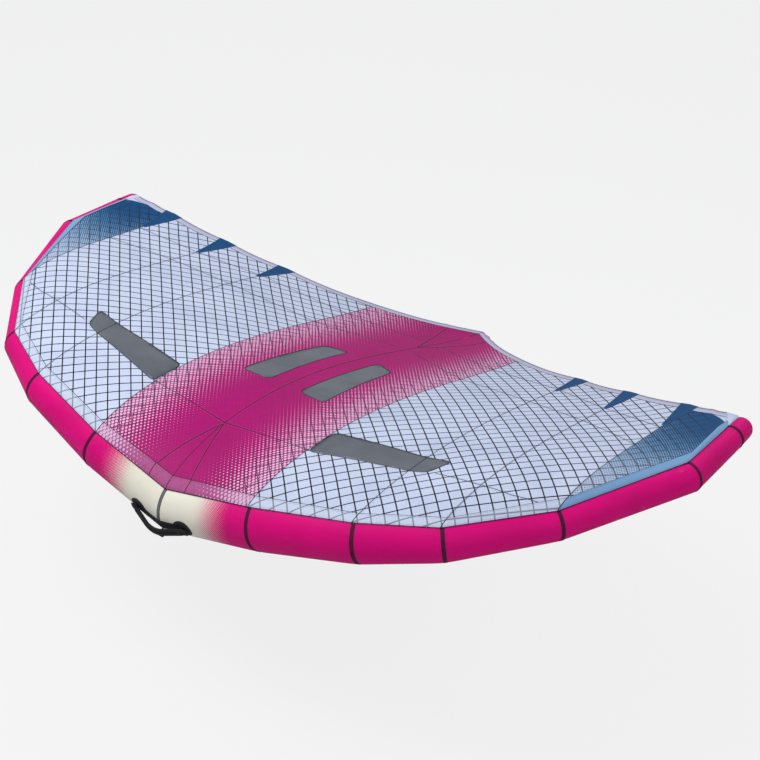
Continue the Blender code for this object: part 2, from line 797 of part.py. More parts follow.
def add_windows(panels, side, hand):
    """Clear film windows set into the panels."""
    height = LE_ABOVE_GRIP + ARCH_HEIGHT / 2
    layout = (
        ("canopy_window_side", SIDE_WINDOW_SHARES, ("canopy_inner", "canopy_middle"), (1.0, 3.0)),
        ("canopy_window_centre", CENTRE_WINDOW_SHARES, ("canopy_centre",), (0.0, 1.0)),
    )
    for name, corner_shares, cut_panels, places in layout:
        corners = [plan_corner(out, back, side) for out, back in corner_shares]
        opening = prism(f"cut_{name}_{hand}", rounded(grown(corners, GAP), WINDOW_CORNER), height)
        for panel in cut_panels:
            boolean(panels[panel], opening)
        film = prism(f"keep_{name}_{hand}", rounded(grown(corners, -GAP), WINDOW_CORNER), height)
        rows = canopy_rows(places[0], places[1], round((places[1] - places[0]) * SEAM_STEPS))
        pane = sheet(f"{name}_{hand}", mirrored(rows, side), "window_film", SKIN)
        boolean(pane, film, "INTERSECT")


def add_darts(panels, side, hand):
    """Three-cornered reinforcements at the seam ends."""
    height = LE_ABOVE_GRIP + ARCH_HEIGHT / 2
    neighbours = {2: ("canopy_inner", "canopy_middle"), 3: ("canopy_middle", "canopy_outer"),
                  4: ("canopy_outer", "canopy_tip")}
    for row in DART_ROWS:
        corners = dart_corners(row, side)
        opening = prism(f"cut_dart_{row}_{hand}", grown(corners, GAP), height)
        for panel in neighbours[row]:
            boolean(panels[panel], opening)
        keep = prism(f"keep_dart_{row}_{hand}", grown(corners, -GAP), height)
        steps = SEAM_STEPS - 1
        rows = canopy_rows(row - steps / SEAM_STEPS, row + steps / SEAM_STEPS, steps * 2)
        dart = sheet(f"te_dart_{row}_{hand}", mirrored(rows, side), "blue_ripstop", SKIN)
        boolean(dart, keep, "INTERSECT")


def add_strips(side, hand):
    """A doubler along the front of the canopy and a folded hem along its rear edge."""
    over = SKIN + GAP * 2
    front_rows = []
    for place in grid_places(LAST_SEAM):
        lift = over + CLOTH_EASE * max(0.0, place - PANELS[-1][1])
        front_rows.append([canopy_point(place, share, lift) for share in rib_shares(place)[:2]])
    sheet(f"canopy_doubler_{hand}", mirrored(front_rows, side), "doubler_cloth", SKIN)
    rear_rows = []
    for place in grid_places(LAST_SEAM):
        rear_rows.append([canopy_point(place, share, over) for share in rib_shares(place)[-2:]])
    sheet(f"te_hem_{hand}", mirrored(rear_rows, side), "hem_cloth", SKIN)


# Strut

def strut_aft(share):
    """Distance aft of the grip for a share of the strut's length."""
    return share * STRUT_LENGTH - STRUT_NOSE_AHEAD


def strut_rings_table():
    """Place, centre height and radius of each strut ring."""
    table = []
    for share, low, width in STRUT_FRONT_SHARES:
        radius = width * STRUT_RADIUS
        table.append((share, low * HAND_ROOM_HEIGHT + radius, radius))
    nodes = [canopy_flat_point(0.0, share).y for share in rib_shares(0.0)]
    aft_rows = list(STRUT_AFT_SHARES)
    for low, high in zip(STRUT_AFT_SHARES, STRUT_AFT_SHARES[1:]):
        for aft in nodes:
            share = (aft + STRUT_NOSE_AHEAD) / STRUT_LENGTH
            if low[0] + RING_SPACING_SHARE < share < high[0] - RING_SPACING_SHARE:
                part = (share - low[0]) / (high[0] - low[0])
                aft_rows.append((share, mix(low[1], high[1], part)))
    for share, width in sorted(aft_rows):
        radius = width * STRUT_RADIUS
        table.append((share, canopy_height(strut_aft(share)) - STRUT_TOP_ROOM - radius, radius))
    start, level, _ = table[-1]
    for share, width in STRUT_TAIL_SHARES:
        sag = STRUT_TAIL_SAG * (share - start) / (1.0 - start)
        table.append((share, level - sag, width * STRUT_RADIUS))
    return table


STRUT_TABLE = strut_rings_table()


def strut_section(share):
    """Centre height and radius of the strut at a share of its length."""
    for low, high in zip(STRUT_TABLE, STRUT_TABLE[1:]):
        if share <= high[0]:
            part = (share - low[0]) / (high[0] - low[0])
            return mix(low[1], high[1], part), mix(low[2], high[2], part)
    return STRUT_TABLE[-1][1], STRUT_TABLE[-1][2]


def strut_ring(share, lift=0.0, lean=0.0, sides=STRUT_SIDES):
    """A ring round the strut; a leaning ring's underside lies further forward than its top."""
    ring = []
    for i in range(sides):
        angle = 2 * math.pi * i / sides
        here = share + lean * math.cos(angle) / STRUT_LENGTH
        height, radius = strut_section(here)
        radius += lift
        ring.append(Vector((radius * math.sin(angle), strut_aft(here), height + radius * math.cos(angle))))
    return ring


def strut_shares(start, end):
    """Ring places inside a panel: its ends and the table's own rings between them."""
    inner = [row[0] for row in STRUT_TABLE if start + RING_SPACING_SHARE < row[0] < end - RING_SPACING_SHARE]
    return [start] + inner + [end]


def build_strut():
    """Four sleeve panels, the tapes over their seams and the bladder inside."""
    half_gap = GAP / 2 / STRUT_LENGTH
    lean = (STRUT_SEAM_LEAN, 0.0, 0.0)
    saddle = closed_loft("cut_strut_saddle", saddle_rings(), None)
    bounds = (0.0,) + STRUT_SEAM_SHARES
    for index, start in enumerate(bounds):
        last = index == len(bounds) - 1
        end = STRUT_TABLE[-1][0] if last else bounds[index + 1] - half_gap
        begin = start if index == 0 else start + half_gap
        rows = []
        for share in strut_shares(begin, end):
            tilt = 0.0
            if index < len(lean) and share == end:
                tilt = lean[index]
            if index > 0 and share == begin:
                tilt = lean[index - 1]
            rows.append((share, tilt))
        outer = [strut_ring(share, 0.0, tilt) for share, tilt in rows]
        if last:
            panel = closed_tail(f"strut_panel_{index + 1}", outer)
        else:
            inner = [strut_ring(share, -SKIN, tilt) for share, tilt in rows]
            panel = sleeve(f"strut_panel_{index + 1}", outer, inner, "magenta_dacron")
        if index == 0:
            boolean(panel, saddle)
    rows = []
    bands = []
    half = TAPE_WIDTH / 2 / STRUT_LENGTH
    for index, (share, tilt) in enumerate(zip(STRUT_SEAM_SHARES, lean)):
        bands.append(len(rows))
        rows += [strut_ring(share + step * half, GAP, tilt) for step in (-1, 1)]
        if index + 1 < len(lean):
            span = strut_shares(share + half, STRUT_SEAM_SHARES[index + 1] - half)
            rows += [strut_ring(inner, GAP) for inner in span[1:-1]]
    tape_net("strut_seam_tapes", rows, bands, (STRUT_SIDES - 1, 0))


def closed_tail(name, rows):
    """The rear strut panel, closed by a round end."""
    bm = bmesh.new()
    made = skin_rows(bm, rows, True)
    middle = sum(rows[-1], Vector()) / len(rows[-1])
    pole = bm.verts.new(Vector((0.0, strut_aft(1.0), middle.z)))
    for i in range(STRUT_SIDES):
        bm.faces.new((made[-1][i], made[-1][(i + 1) % STRUT_SIDES], pole))
    bmesh.ops.recalc_face_normals(bm, faces=bm.faces)
    point_rings_outward(bm, rows)
    mesh = bpy.data.meshes.new(name)
    bm.to_mesh(mesh)
    bm.free()
    obj = bpy.data.objects.new(name, mesh)
    PARTS.objects.link(obj)
    mesh.materials.append(MATERIALS["magenta_dacron"])
    mesh.shade_smooth()
    shell = obj.modifiers.new("wall", "SOLIDIFY")
    shell.thickness = SKIN
    shell.offset = -1.0
    return obj


def saddle_rings():
    """The leading edge with its tape and a little room, as a cutter for what butts against it."""
    room = TAPE_TOP + GAP
    half = [le_ring(i / SADDLE_STEPS, room) for i in range(SADDLE_STEPS)]
    return mirrored(half[1:], -1)[::-1] + half


def build_strut_bladder():
    """Bladder of the strut, from just behind the leading edge to the tail."""
    inset = -(SKIN + GAP + FACET_SAG)
    shares = strut_shares(STRUT_BLADDER_START_SHARE, STRUT_BLADDER_END_SHARE)
    rings = [strut_ring(share, inset, 0.0, BLADDER_SIDES) for share in shares]
    return hollow_bag("strut_bladder", rings, "bladder_tpu", BLADDER_WALL)


def build_web():
    """Sheer web that ties the top of the strut to the middle of the canopy."""
    radius = LE_RADIUS + TAPE_TOP + GAP + CLOTH_EASE
    foot_room = TAPE_TOP + GAP + CLOTH_EASE
    head_room = SKIN / 2 + GAP + CLOTH_EASE
    shares = [row[0] for row in STRUT_TABLE if STRUT_BLADDER_START_SHARE < row[0] < WEB_TAIL_SHARE]
    rows = [web_front(radius, foot_room, head_room)]
    for share in shares + [WEB_TAIL_SHARE]:
        aft = strut_aft(share)
        height, width = strut_section(share)
        foot = height + width + foot_room
        head = max(canopy_height(aft) - head_room, foot + GAP)
        rows.append([Vector((0.0, aft, mix(foot, head, step / WEB_HEIGHT_STEPS)))
                     for step in range(WEB_HEIGHT_STEPS + 1)])
    return sheet("strut_web", rows, "doubler_cloth", SKIN)


def web_front(radius, foot_room, head_room):
    """Front edge of the web: up the rear of the leading edge, then straight up to the canopy."""
    height, width = strut_section(STRUT_BLADDER_START_SHARE)
    low = math.acos((height + width + foot_room - LE_CENTRE.z) / radius)
    high = math.radians(WEB_FRONT_DEGREES)
    column = []
    for step in range(WEB_HEIGHT_STEPS):
        angle = mix(low, high, step / (WEB_HEIGHT_STEPS - 1))
        column.append(LE_CENTRE + Vector((0.0, math.sin(angle), math.cos(angle))) * radius)
    top = column[-1]
    column.append(Vector((0.0, top.y, canopy_height(top.y) - head_room)))
    return column


# Boom

def pitched(point):
    """Turn a boom point about the grip's middle, so that the rear end sits higher."""
    angle = math.radians(BOOM_PITCH_DEGREES)
    aft = point.y * math.cos(angle) - point.z * math.sin(angle)
    up = point.y * math.sin(angle) + point.z * math.cos(angle)
    return Vector((point.x, aft, up))


def strut_underside(aft):
    """Lowest point of the strut at a distance aft of the grip."""
    height, radius = strut_section((aft + STRUT_NOSE_AHEAD) / STRUT_LENGTH)
    return Vector((0.0, aft, height - radius))


def boom_ends():
    """Top ends of the boom and the direction in which each leaves its socket."""
    ends = []
    for way in (-1, 1):
        corner = pitched(Vector((0.0, way * BOOM_LENGTH / 2, 0.0)))
        foot = strut_underside(corner.y + way * BOOM_SPLAY)
        top = foot - UP * (SOCKET_FLANGE_WALL + SKIN + GAP * 3)
        ends.append((corner, top, (corner - top).normalized()))
    return ends


def boom_path():
    """Centre line of the boom from its front end, round both bends, to its rear end."""
    (front, front_top, _), (rear, rear_top, _) = boom_ends()
    path = [front_top]
    for corner, before, after in ((front, front_top, rear), (rear, front, rear_top)):
        legs = ((corner - before).length, (corner - after).length)
        bend = min(BOOM_BEND_RADIUS, min(legs) * BEND_LIMIT_SHARE)
        start = corner + (before - corner).normalized() * bend
        end = corner + (after - corner).normalized() * bend
        for step in range(BOOM_BEND_STEPS + 1):
            share = step / BOOM_BEND_STEPS
            path.append(mix(mix(start, corner, share), mix(corner, end, share), share))
    path.append(rear_top)
    return path


def pipe(name, path, outer, bore, material, sides):
    """An open-ended pipe that follows a path in the centre plane."""
    loops = []
    for radius in (outer, bore):
        rows = []
        for i, point in enumerate(path):
            before = path[max(i - 1, 0)]
            after = path[min(i + 1, len(path) - 1)]
            along = (after - before).normalized()
            across = Vector((1.0, 0.0, 0.0))
            up = across.cross(along)
            ring = []
            for step in range(sides):
                angle = 2 * math.pi * step / sides
                ring.append(point + (across * math.cos(angle) + up * math.sin(angle)) * radius)
            rows.append(ring)
        loops.append(rows)
    return sleeve(name, loops[0], loops[1], material)


def build_boom():
    """Tube, grip sleeve, the sockets under the strut and the bolts across them."""
    tube_radius = BOOM_TUBE_DIAMETER / 2
    path = boom_path()
    tube = pipe("boom_tube", path, tube_radius, tube_radius - BOOM_TUBE_WALL, "carbon_tube", BOOM_SIDES)
    ends = boom_ends()
    sleeve_path = list(path)
    for index, (corner, top, down) in zip((0, -1), ends):
        sleeve_path[index] = top + down * (GAP + SCREW_HEAD_HEIGHT)
    bore = tube_radius + GAP
    grip = pipe("boom_grip", sleeve_path, bore + GRIP_WALL, bore, "black_eva", BOOM_SIDES)
    screws = []
    names = ("boom_socket_front", "boom_socket_rear")
    for (corner, top, down), name, lift in zip(ends, names, (TAPE_TOP + GAP, GAP)):
        plug = (tube_radius - BOOM_TUBE_WALL) * math.cos(math.pi / BOOM_SIDES) - GAP
        profile = (
            (0.0, -GAP - SOCKET_FLANGE_WALL - SOCKET_TRIM),
            (SOCKET_FLANGE_RADIUS, -GAP - SOCKET_FLANGE_WALL - SOCKET_TRIM),
            (SOCKET_FLANGE_RADIUS, -GAP - SOCKET_FLANGE_WALL / 3),
            (tube_radius + GRIP_WALL, -GAP),
            (plug, -GAP),
            (plug, SOCKET_SPIGOT_LENGTH),
            (0.0, SOCKET_SPIGOT_LENGTH),
        )
        socket = turned(name, profile, "black_nylon", SOCKET_SIDES, top, down)
        boolean(socket, strut_core(name, lift, top.y))
        cross = top + down * SCREW_BELOW_FLANGE
        reach = Vector((tube_radius + GRIP_WALL + GAP + OVERRUN, 0.0, 0.0))
        hole = rod(f"cut_screw_{name}", cross - reach, cross + reach,
                   SCREW_SHANK_RADIUS + SCREW_HOLE_EASE, None, SCREW_SIDES)
        for piece in (tube, grip, socket):
            boolean(piece, hole)
        screws.append(cross)
    build_screws(screws, tube_radius + GAP * 2 + GRIP_WALL)


def strut_core(name, lift, aft):
    """The strut round a socket's place, with a little room, as a cutter that shapes the socket's top."""
    middle = aft + STRUT_NOSE_AHEAD
    start, end = ((middle + way * SOCKET_CORE_REACH) / STRUT_LENGTH for way in (-1, 1))
    rings = [strut_ring(share, lift) for share in strut_shares(start, end)]
    return closed_loft(f"cut_core_{name}", rings, None)


def build_screws(places, half_width):
    """A cross bolt with a low head at each end of the boom."""
    for place, name in zip(places, ("boom_screw_front", "boom_screw_rear")):
        rim = SCREW_HEAD_HEIGHT * SCREW_RIM_SHARE
        profile = (
            (0.0, -SCREW_HEAD_HEIGHT),
            (SCREW_HEAD_RADIUS, -rim),
            (SCREW_HEAD_RADIUS, 0.0),
            (SCREW_SHANK_RADIUS, 0.0),
            (SCREW_SHANK_RADIUS, half_width * 2),
            (SCREW_HEAD_RADIUS, half_width * 2),
            (SCREW_HEAD_RADIUS, half_width * 2 + rim),
            (0.0, half_width * 2 + SCREW_HEAD_HEIGHT),
        )
        start = place - Vector((half_width, 0.0, 0.0))
        turned(name, profile, "stainless", SCREW_SIDES, start, Vector((1.0, 0.0, 0.0)))


# Handle, leash loop and valve

def handle_half_width(across):
    """Half height of the handle's base patch at a distance from the centre plane."""
    inside = HANDLE_LOBE_RADIUS ** 2 - (abs(across) - HANDLE_HALF_REACH) ** 2
    lobe = math.sqrt(inside) if inside > 0 else 0.0
    band = HANDLE_BAND_HALF if abs(across) < HANDLE_HALF_REACH else 0.0
    return max(lobe, band)


def on_front(across, along, lift, degrees):
    """A point on the front of the tube: along runs round it from the stated angle."""
    place = abs(across) / (LE_SPAN_SHARES[1] * HALF_SPAN_LENGTH)
    turn = degrees + math.degrees(along / LE_RADIUS)
    point = le_point(place, turn, lift)
    return Vector((math.copysign(point.x, across), point.y, point.z))


def patch_places():
    """Places across the patch: arc steps over each lobe and even steps along the band."""
    lobe = [HANDLE_HALF_REACH + HANDLE_LOBE_RADIUS * HANDLE_END_SHARE * math.cos(math.pi * i / LOBE_STEPS)
            for i in range(LOBE_STEPS + 1)]
    inner = lobe[-1]
    band = [mix(inner, -inner, i / BAND_STEPS) for i in range(1, BAND_STEPS)]
    return lobe + band + [-across for across in lobe[::-1]]


def build_handle():
    """Dog-bone base patch and the padded strap that lies on its lobes and arches between them."""
    lift = TAPE_TOP + GAP
    rows = []
    for across in patch_places():
        tall = handle_half_width(across)
        steps = [mix(-tall, tall, i / (HANDLE_ACROSS - 1)) for i in range(HANDLE_ACROSS)]
        rows.append([on_front(across, along, lift, HANDLE_DEGREES) for along in steps])
    sheet("handle_base_patch", rows, "black_webbing", HANDLE_PATCH_WALL, False, 1.0)
    seat = lift + HANDLE_PATCH_WALL + GAP + STRAP_THICKNESS / 2
    centres = []
    for i in range(STRAP_STEPS + 1):
        across = mix(-STRAP_HALF_REACH, STRAP_HALF_REACH, i / STRAP_STEPS)
        near = min(abs(across) / STRAP_LIFT_OFF, 1.0)
        arch = ((1 + math.cos(math.pi * near)) / 2) ** STRAP_ARCH_POWER
        centres.append(on_front(across, 0.0, seat + STRAP_STAND_OFF * arch, HANDLE_DEGREES))
    middle = on_front(0.0, 0.0, lift, HANDLE_DEGREES)
    tangent = Vector((1.0, 0.0, 0.0)).cross((middle - LE_CENTRE).normalized())
    build_strap(centres, tangent)


def build_strap(centres, tangent):
    """A flat oval section swept along the strap's arch."""
    rows = []
    for i, centre in enumerate(centres):
        before = centres[max(i - 1, 0)]
        after = centres[min(i + 1, len(centres) - 1)]
        along = (after - before).normalized()
        thick = along.cross(tangent).normalized()
        ring = []
        for step in range(STRAP_SIDES):
            angle = 2 * math.pi * step / STRAP_SIDES
            across = math.copysign(abs(math.cos(angle)) ** STRAP_SECTION_POWER, math.cos(angle))
            ring.append(centre + tangent * (across * STRAP_WIDTH / 2)
                        + thick * (math.sin(angle) * STRAP_THICKNESS / 2))
        rows.append(ring)
    closed_loft("handle_strap", rows, "black_webbing")


def leash_frame():
    """Centre of the leash loop's root on the seam tape, its outward direction and its tangent."""
    angle = 2 * math.pi * LEASH_FACET / LE_SIDES
    outward = Vector((0.0, -math.sin(angle), math.cos(angle)))
    facet = (LE_RADIUS + GAP) * math.cos(math.pi / LE_SIDES) + TAPE_WALL + GAP
    tangent = Vector((1.0, 0.0, 0.0)).cross(outward)
    return LE_CENTRE + outward * (facet + LEASH_ROOT_RADIUS), outward, tangent


def loop_outline(low_radius, low_height, high_radius, high_height):
    """Outline of a teardrop: an arc at its far end and a smaller one at its root."""
    points = []
    for radius, height, start in ((high_radius, high_height, 0.0), (low_radius, low_height, math.pi)):
        for step in range(LEASH_ARC_STEPS + 1):
            angle = start + math.pi * step / LEASH_ARC_STEPS
            points.append((radius * math.cos(angle), height + radius * math.sin(angle)))
    return points


def build_leash():
    """The webbing loop that a leash ties to; its rolled root turns on the tape."""
    root, outward, tangent = leash_frame()
    top = LEASH_LOOP_LENGTH - LEASH_LOOP_RADIUS
    outlines = (
        loop_outline(LEASH_ROOT_RADIUS, 0.0, LEASH_LOOP_RADIUS, top),
        loop_outline(LEASH_HOLE_RADIUS, LEASH_HOLE_START, LEASH_LOOP_RADIUS - LEASH_WEBBING, top),
    )
    loops = []
    for points in outlines:
        ends = []
        for across in (-LEASH_LOOP_WIDTH / 2, LEASH_LOOP_WIDTH / 2):
            shift = Vector((across, 0.0, 0.0))
            ends.append([root + tangent * along + outward * out + shift for along, out in points])
        loops.append(ends)
    sleeve("leash_loop", loops[0], loops[1], "black_webbing")


def valve_frame():
    """Place on the tube's surface, outward axis and the direction of the cap's lug."""
    place_share = VALVE_OUT / (LE_SPAN_SHARES[1] * HALF_SPAN_LENGTH)
    centre = le_axis(place_share)
    surface = le_point(place_share, VALVE_DEGREES)
    axis = (surface - centre).normalized()
    along = (STATIONS[1][0] - STATIONS[0][0]).normalized()
    across = (along - axis * along.dot(axis)).normalized()
    return surface, axis, across


def build_valve(panel, bladder):
    """Valve flange and barrel, sprung poppet and tethered cap, with the holes they need."""
    surface, axis, across = valve_frame()
    deep = surface - axis * (VALVE_FLANGE_RADIUS * 2)
    sleeve_hole = rod("cut_valve_sleeve", deep, surface + axis * OVERRUN * 2,
                      VALVE_FLANGE_RADIUS + GAP * 2, None, VALVE_SIDES)
    boolean(panel, sleeve_hole)
    near = surface - axis * VALVE_FLANGE_RADIUS
    bladder_hole = rod("cut_valve_bladder", near, surface + axis * OVERRUN * 2,
                       VALVE_BODY_RADIUS + GAP * 2, None, VALVE_SIDES)
    boolean(bladder, bladder_hole)
    flange = (
        (VALVE_SEAT_RADIUS, -VALVE_INNER_DEPTH),
        (VALVE_BODY_RADIUS, -VALVE_INNER_DEPTH),
        (VALVE_BODY_RADIUS, 0.0),
        (VALVE_FLANGE_RADIUS, 0.0),
        (VALVE_FLANGE_RADIUS, VALVE_FLANGE_WALL),
        (VALVE_BODY_RADIUS, VALVE_FLANGE_WALL),
        (VALVE_BODY_RADIUS, VALVE_BODY_HEIGHT),
        (VALVE_BORE_RADIUS, VALVE_BODY_HEIGHT),
        (VALVE_BORE_RADIUS, -VALVE_INNER_DEPTH + POPPET_WALL),
        (VALVE_SEAT_RADIUS, -VALVE_INNER_DEPTH + POPPET_WALL),
    )
    turned("valve_body", flange, "grey_nylon", VALVE_SIDES, surface, axis)
    low = -VALVE_INNER_DEPTH - GAP
    poppet = (
        (0.0, low - POPPET_WALL),
        (POPPET_RADIUS, low - POPPET_WALL),
        (POPPET_RADIUS, low),
        (POPPET_STEM_RADIUS, low),
        (POPPET_STEM_RADIUS, VALVE_BODY_HEIGHT - POPPET_TRAVEL_ROOM / 3),
        (0.0, VALVE_BODY_HEIGHT - POPPET_TRAVEL_ROOM / 3),
    )
    turned("valve_poppet", poppet, "black_nylon", VALVE_SIDES, surface, axis)
    top = VALVE_BODY_HEIGHT + GAP
    outer = VALVE_BODY_RADIUS + CAP_CLEARANCE + CAP_WALL
    inner = VALVE_BODY_RADIUS + CAP_CLEARANCE
    cap_profile = (
        (0.0, top),
        (inner, top),
        (inner, top - CAP_SKIRT),
        (outer, top - CAP_SKIRT),
        (outer, top + CAP_WALL - CAP_EDGE),
        (outer - CAP_EDGE, top + CAP_WALL),
        (0.0, top + CAP_WALL),
    )
    cap = turned("valve_cap", cap_profile, "black_nylon", VALVE_SIDES, surface, axis)
    add_cap_lug(cap, surface, axis, across, outer)


def add_cap_lug(cap, surface, axis, across, outer):
    """Strap from the cap's skirt to its hinge barrel over the flange's edge."""
    low = VALVE_FLANGE_WALL + GAP
    hinge_height = low + CAP_LUG_RADIUS
    side = axis.cross(across)
    skirt = VALVE_BODY_HEIGHT + GAP - CAP_SKIRT
    section = (
        (outer - CAP_WALL / 2, skirt + GAP),
        (outer - CAP_WALL / 2, skirt + CAP_LUG_RADIUS * 2),
        (outer + CAP_WALL, skirt + CAP_LUG_RADIUS * 2 - GAP),
        (CAP_LUG_REACH, hinge_height + CAP_LUG_RADIUS),
        (CAP_LUG_REACH + CAP_LUG_RADIUS, hinge_height),
        (CAP_LUG_REACH, low),
        (CAP_LUG_REACH - CAP_LUG_RADIUS, hinge_height),
    )
    rings = []
    for end in (-1, 1):
        shift = side * (end * CAP_LUG_WIDTH / 2)
        rings.append([surface + across * out + axis * up + shift for out, up in section])
    lug = closed_loft("cut_cap_lug", rings, None)
    boolean(cap, lug, "UNION")


def build_link(panel, le_bag, strut_bag):
    """Short tube that lets air pass from the leading-edge bladder into the strut bladder."""
    height, radius = strut_section(STRUT_BLADDER_START_SHARE)
    face = strut_aft(STRUT_BLADDER_START_SHARE)
    drop = LE_CENTRE.z - height
    front = LE_CENTRE.y + math.sqrt(LE_RADIUS ** 2 - drop ** 2)
    start = Vector((LINK_OFFSET, front - LINK_REACH - SKIN, height))
    end = Vector((LINK_OFFSET, face + LINK_REACH, height))
    axis = (end - start).normalized()
    length = (end - start).length
    bore = LINK_RADIUS - LINK_WALL
    profile = ((LINK_RADIUS, 0.0), (LINK_RADIUS, length), (bore, length), (bore, 0.0))
    turned("bladder_link", profile, "grey_nylon", LINK_SIDES, start, axis)
    hole = rod("cut_link", start - axis * OVERRUN, end + axis * OVERRUN,
               LINK_RADIUS + GAP, None, LINK_SIDES)
    for piece in (panel, le_bag, strut_bag):
        boolean(piece, hole)


def main():
    build_le_panels()
    build_tip_caps()
    build_le_tapes()
    le_bag = build_le_bladder()
    build_canopy()
    build_strut()
    strut_bag = build_strut_bladder()
    build_web()
    build_boom()
    build_handle()
    build_leash()
    valve_panel = bpy.data.objects["le_panel_1_left"]
    build_valve(valve_panel, le_bag)
    build_link(valve_panel, le_bag, strut_bag)


main()
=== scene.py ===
import math

import bpy
from mathutils import Matrix, Vector
from mathutils.bvhtree import BVHTree


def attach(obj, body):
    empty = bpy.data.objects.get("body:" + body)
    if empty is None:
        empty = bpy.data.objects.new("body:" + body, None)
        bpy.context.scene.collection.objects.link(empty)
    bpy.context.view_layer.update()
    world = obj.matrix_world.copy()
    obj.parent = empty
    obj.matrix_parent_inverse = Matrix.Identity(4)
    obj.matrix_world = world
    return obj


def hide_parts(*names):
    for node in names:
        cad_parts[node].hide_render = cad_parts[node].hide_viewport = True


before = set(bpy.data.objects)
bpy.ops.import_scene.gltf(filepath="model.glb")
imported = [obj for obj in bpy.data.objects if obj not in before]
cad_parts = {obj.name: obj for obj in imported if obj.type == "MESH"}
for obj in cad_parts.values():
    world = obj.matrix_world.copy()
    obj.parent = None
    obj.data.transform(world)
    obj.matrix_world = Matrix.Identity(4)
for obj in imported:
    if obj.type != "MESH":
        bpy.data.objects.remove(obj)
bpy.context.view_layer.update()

bl_info = {
    "name": "Hand Wing Looks",
    "version": (1, 0, 0),
    "blender": (4, 5, 0),
    "location": "View3D > Sidebar > Hand Wing",
    "description": "Sewn, inflated and moulded surfaces of a hand-held wing, built round its packed frame",
    "category": "Object",
}

WING, LEASH = "wing", "leash"
SIDES = ((1, "left"), (-1, "right"))

# Sizes of the frame's own solids, repeated in metres
HALF_SPAN = 1.65
CANOPY_CHORD = 2.19
ARCH_HEIGHT = 0.373
LE_RADIUS = 0.117
LE_CENTRE = Vector((0.0, -0.7195, 0.168))
TE_BELOW_ATTACHMENT = 0.130
STRUT_RADIUS = 0.105
STRUT_NOSE_AHEAD = 0.775
STRUT_LENGTH = 2.222
HAND_ROOM = 0.0880
BOOM_LENGTH = 0.975
BOOM_TUBE_RADIUS = 0.0122
BOOM_BEND_RADIUS = 0.034
BOOM_SPLAY = 0.020
BOOM_PITCH = math.radians(1.5)
GRIP_WALL = 0.0016
SOCKET_FLANGE_WALL = 0.0030
SCREW_HEAD_HEIGHT = 0.0018
TIP_CAP_LENGTH = 0.127
SKIN = 0.0010
TAPE_WALL = 0.0006
GAP = 0.0003
CLOTH_EASE = 0.0009
TAPE_TOP = GAP + TAPE_WALL
CANOPY_LIFT = TAPE_TOP + GAP + SKIN / 2 + CLOTH_EASE
STRUT_TOP_ROOM = SKIN / 2 + GAP + TAPE_TOP + CLOTH_EASE
UP = Vector((0.0, 0.0, 1.0))
LE_SIDES = 112
STRUT_SIDES = 96
EDGE_OVERHANG = 0.0022
FILM_HALF_WALL = 0.0004
PATCH_HALF_WALL = 0.0009
DART_HEM_OVERLAP = 0.004
BLADDER_INSET = -0.0045

LE_SPAN_SHARES = (0.0, 0.244, 0.486, 0.650, 0.817, 0.967, 0.969)
LE_SWEEP_SHARES = (0.0, 0.006, 0.033, 0.084, 0.212, 0.438, 0.586)
LE_RISE_SHARES = (0.0, 0.229, 0.452, 0.605, 0.760, 0.937, 1.0)
LE_TAPER_SHARES = (1.0, 0.944, 0.803, 0.671, 0.547, 0.491, 0.420)
CAP_SHOULDER_SHARE = 0.66
CAP_TAPER_SHARE = 0.385
ATTACH_DEGREES = (40.0, 37.0, 29.0, 26.0, 18.0, -8.0, -16.0, -18.0)
CLOSING_SEAM_DEGREES = 153.0
TE_SPAN_SHARES = (0.0, 0.244, 0.488, 0.657, 0.829, 0.894, 0.932, 0.956)
TE_FORWARD_SHARES = (0.0, 0.149, 0.234, 0.283, 0.316, 0.330, 0.343, 0.334)
TE_RISE_SHARES = (0.0, 0.328, 0.649, 0.883, 1.102, 1.192, 1.256, 1.236)
TE_HOLLOW = 0.022
TE_HOLLOW_SHARES = (1.0, 0.8, 0.55, 0.5, 0.3, 0.2, 0.0)
CAMBER_SHARES = (0.0965, 0.072, 0.055, 0.053, 0.0435, 0.020, 0.006, 0.0)
CAMBER_PEAK_SHARES = (0.33, 0.34, 0.38, 0.31, 0.25, 0.25, 0.30, 0.30)
CAMBER_NOSE_POWER = 0.75
PANEL_BILLOW = 0.006
DOUBLER_WIDTH = 0.042
DOUBLER_SPREAD = 1.6
HEM_WIDTH = 0.042
STRIP_LIMIT_SHARE = 0.35
DART_WIDTH = 0.086
DART_LENGTH = 0.220
DART_TIP_WIDTH = 0.018
DART_ROWS = (2, 3, 4)
WINDOW_CORNER = 0.030
SIDE_WINDOW_SHARES = ((0.2415, 0.158), (0.527, 0.2025), (0.549, 0.252), (0.241, 0.234))
CENTRE_WINDOW_SHARES = ((0.0476, 0.314), (0.128, 0.3075), (0.110, 0.5395), (0.0476, 0.559))
STRUT_FRONT_SHARES = (
    (0.000, 0.80, 0.46), (0.014, 0.46, 0.72), (0.034, 0.31, 0.91), (0.061, 0.285, 1.00),
    (0.097, 0.39, 1.02), (0.131, 0.505, 1.02), (0.180, 0.64, 1.02), (0.230, 0.76, 1.015),
    (0.290, 0.895, 1.00), (0.359, 1.00, 0.965), (0.460, 0.985, 0.955), (0.570, 0.915, 0.957),
    (0.640, 0.845, 0.945))
STRUT_AFT_SHARES = ((0.717, 0.862), (0.851, 0.600), (0.952, 0.443))
STRUT_TAIL_SHARES = ((0.972, 0.410), (0.986, 0.320), (0.995, 0.185))
STRUT_TAIL_SAG = 0.014
STRUT_SEAM_SHARES = (0.131, 0.379, 0.708)
STRUT_SEAM_LEAN = 0.045
STRUT_LEANS = (0.0, STRUT_SEAM_LEAN, 0.0, 0.0, 0.0)
WEB_START_SHARE = 0.098
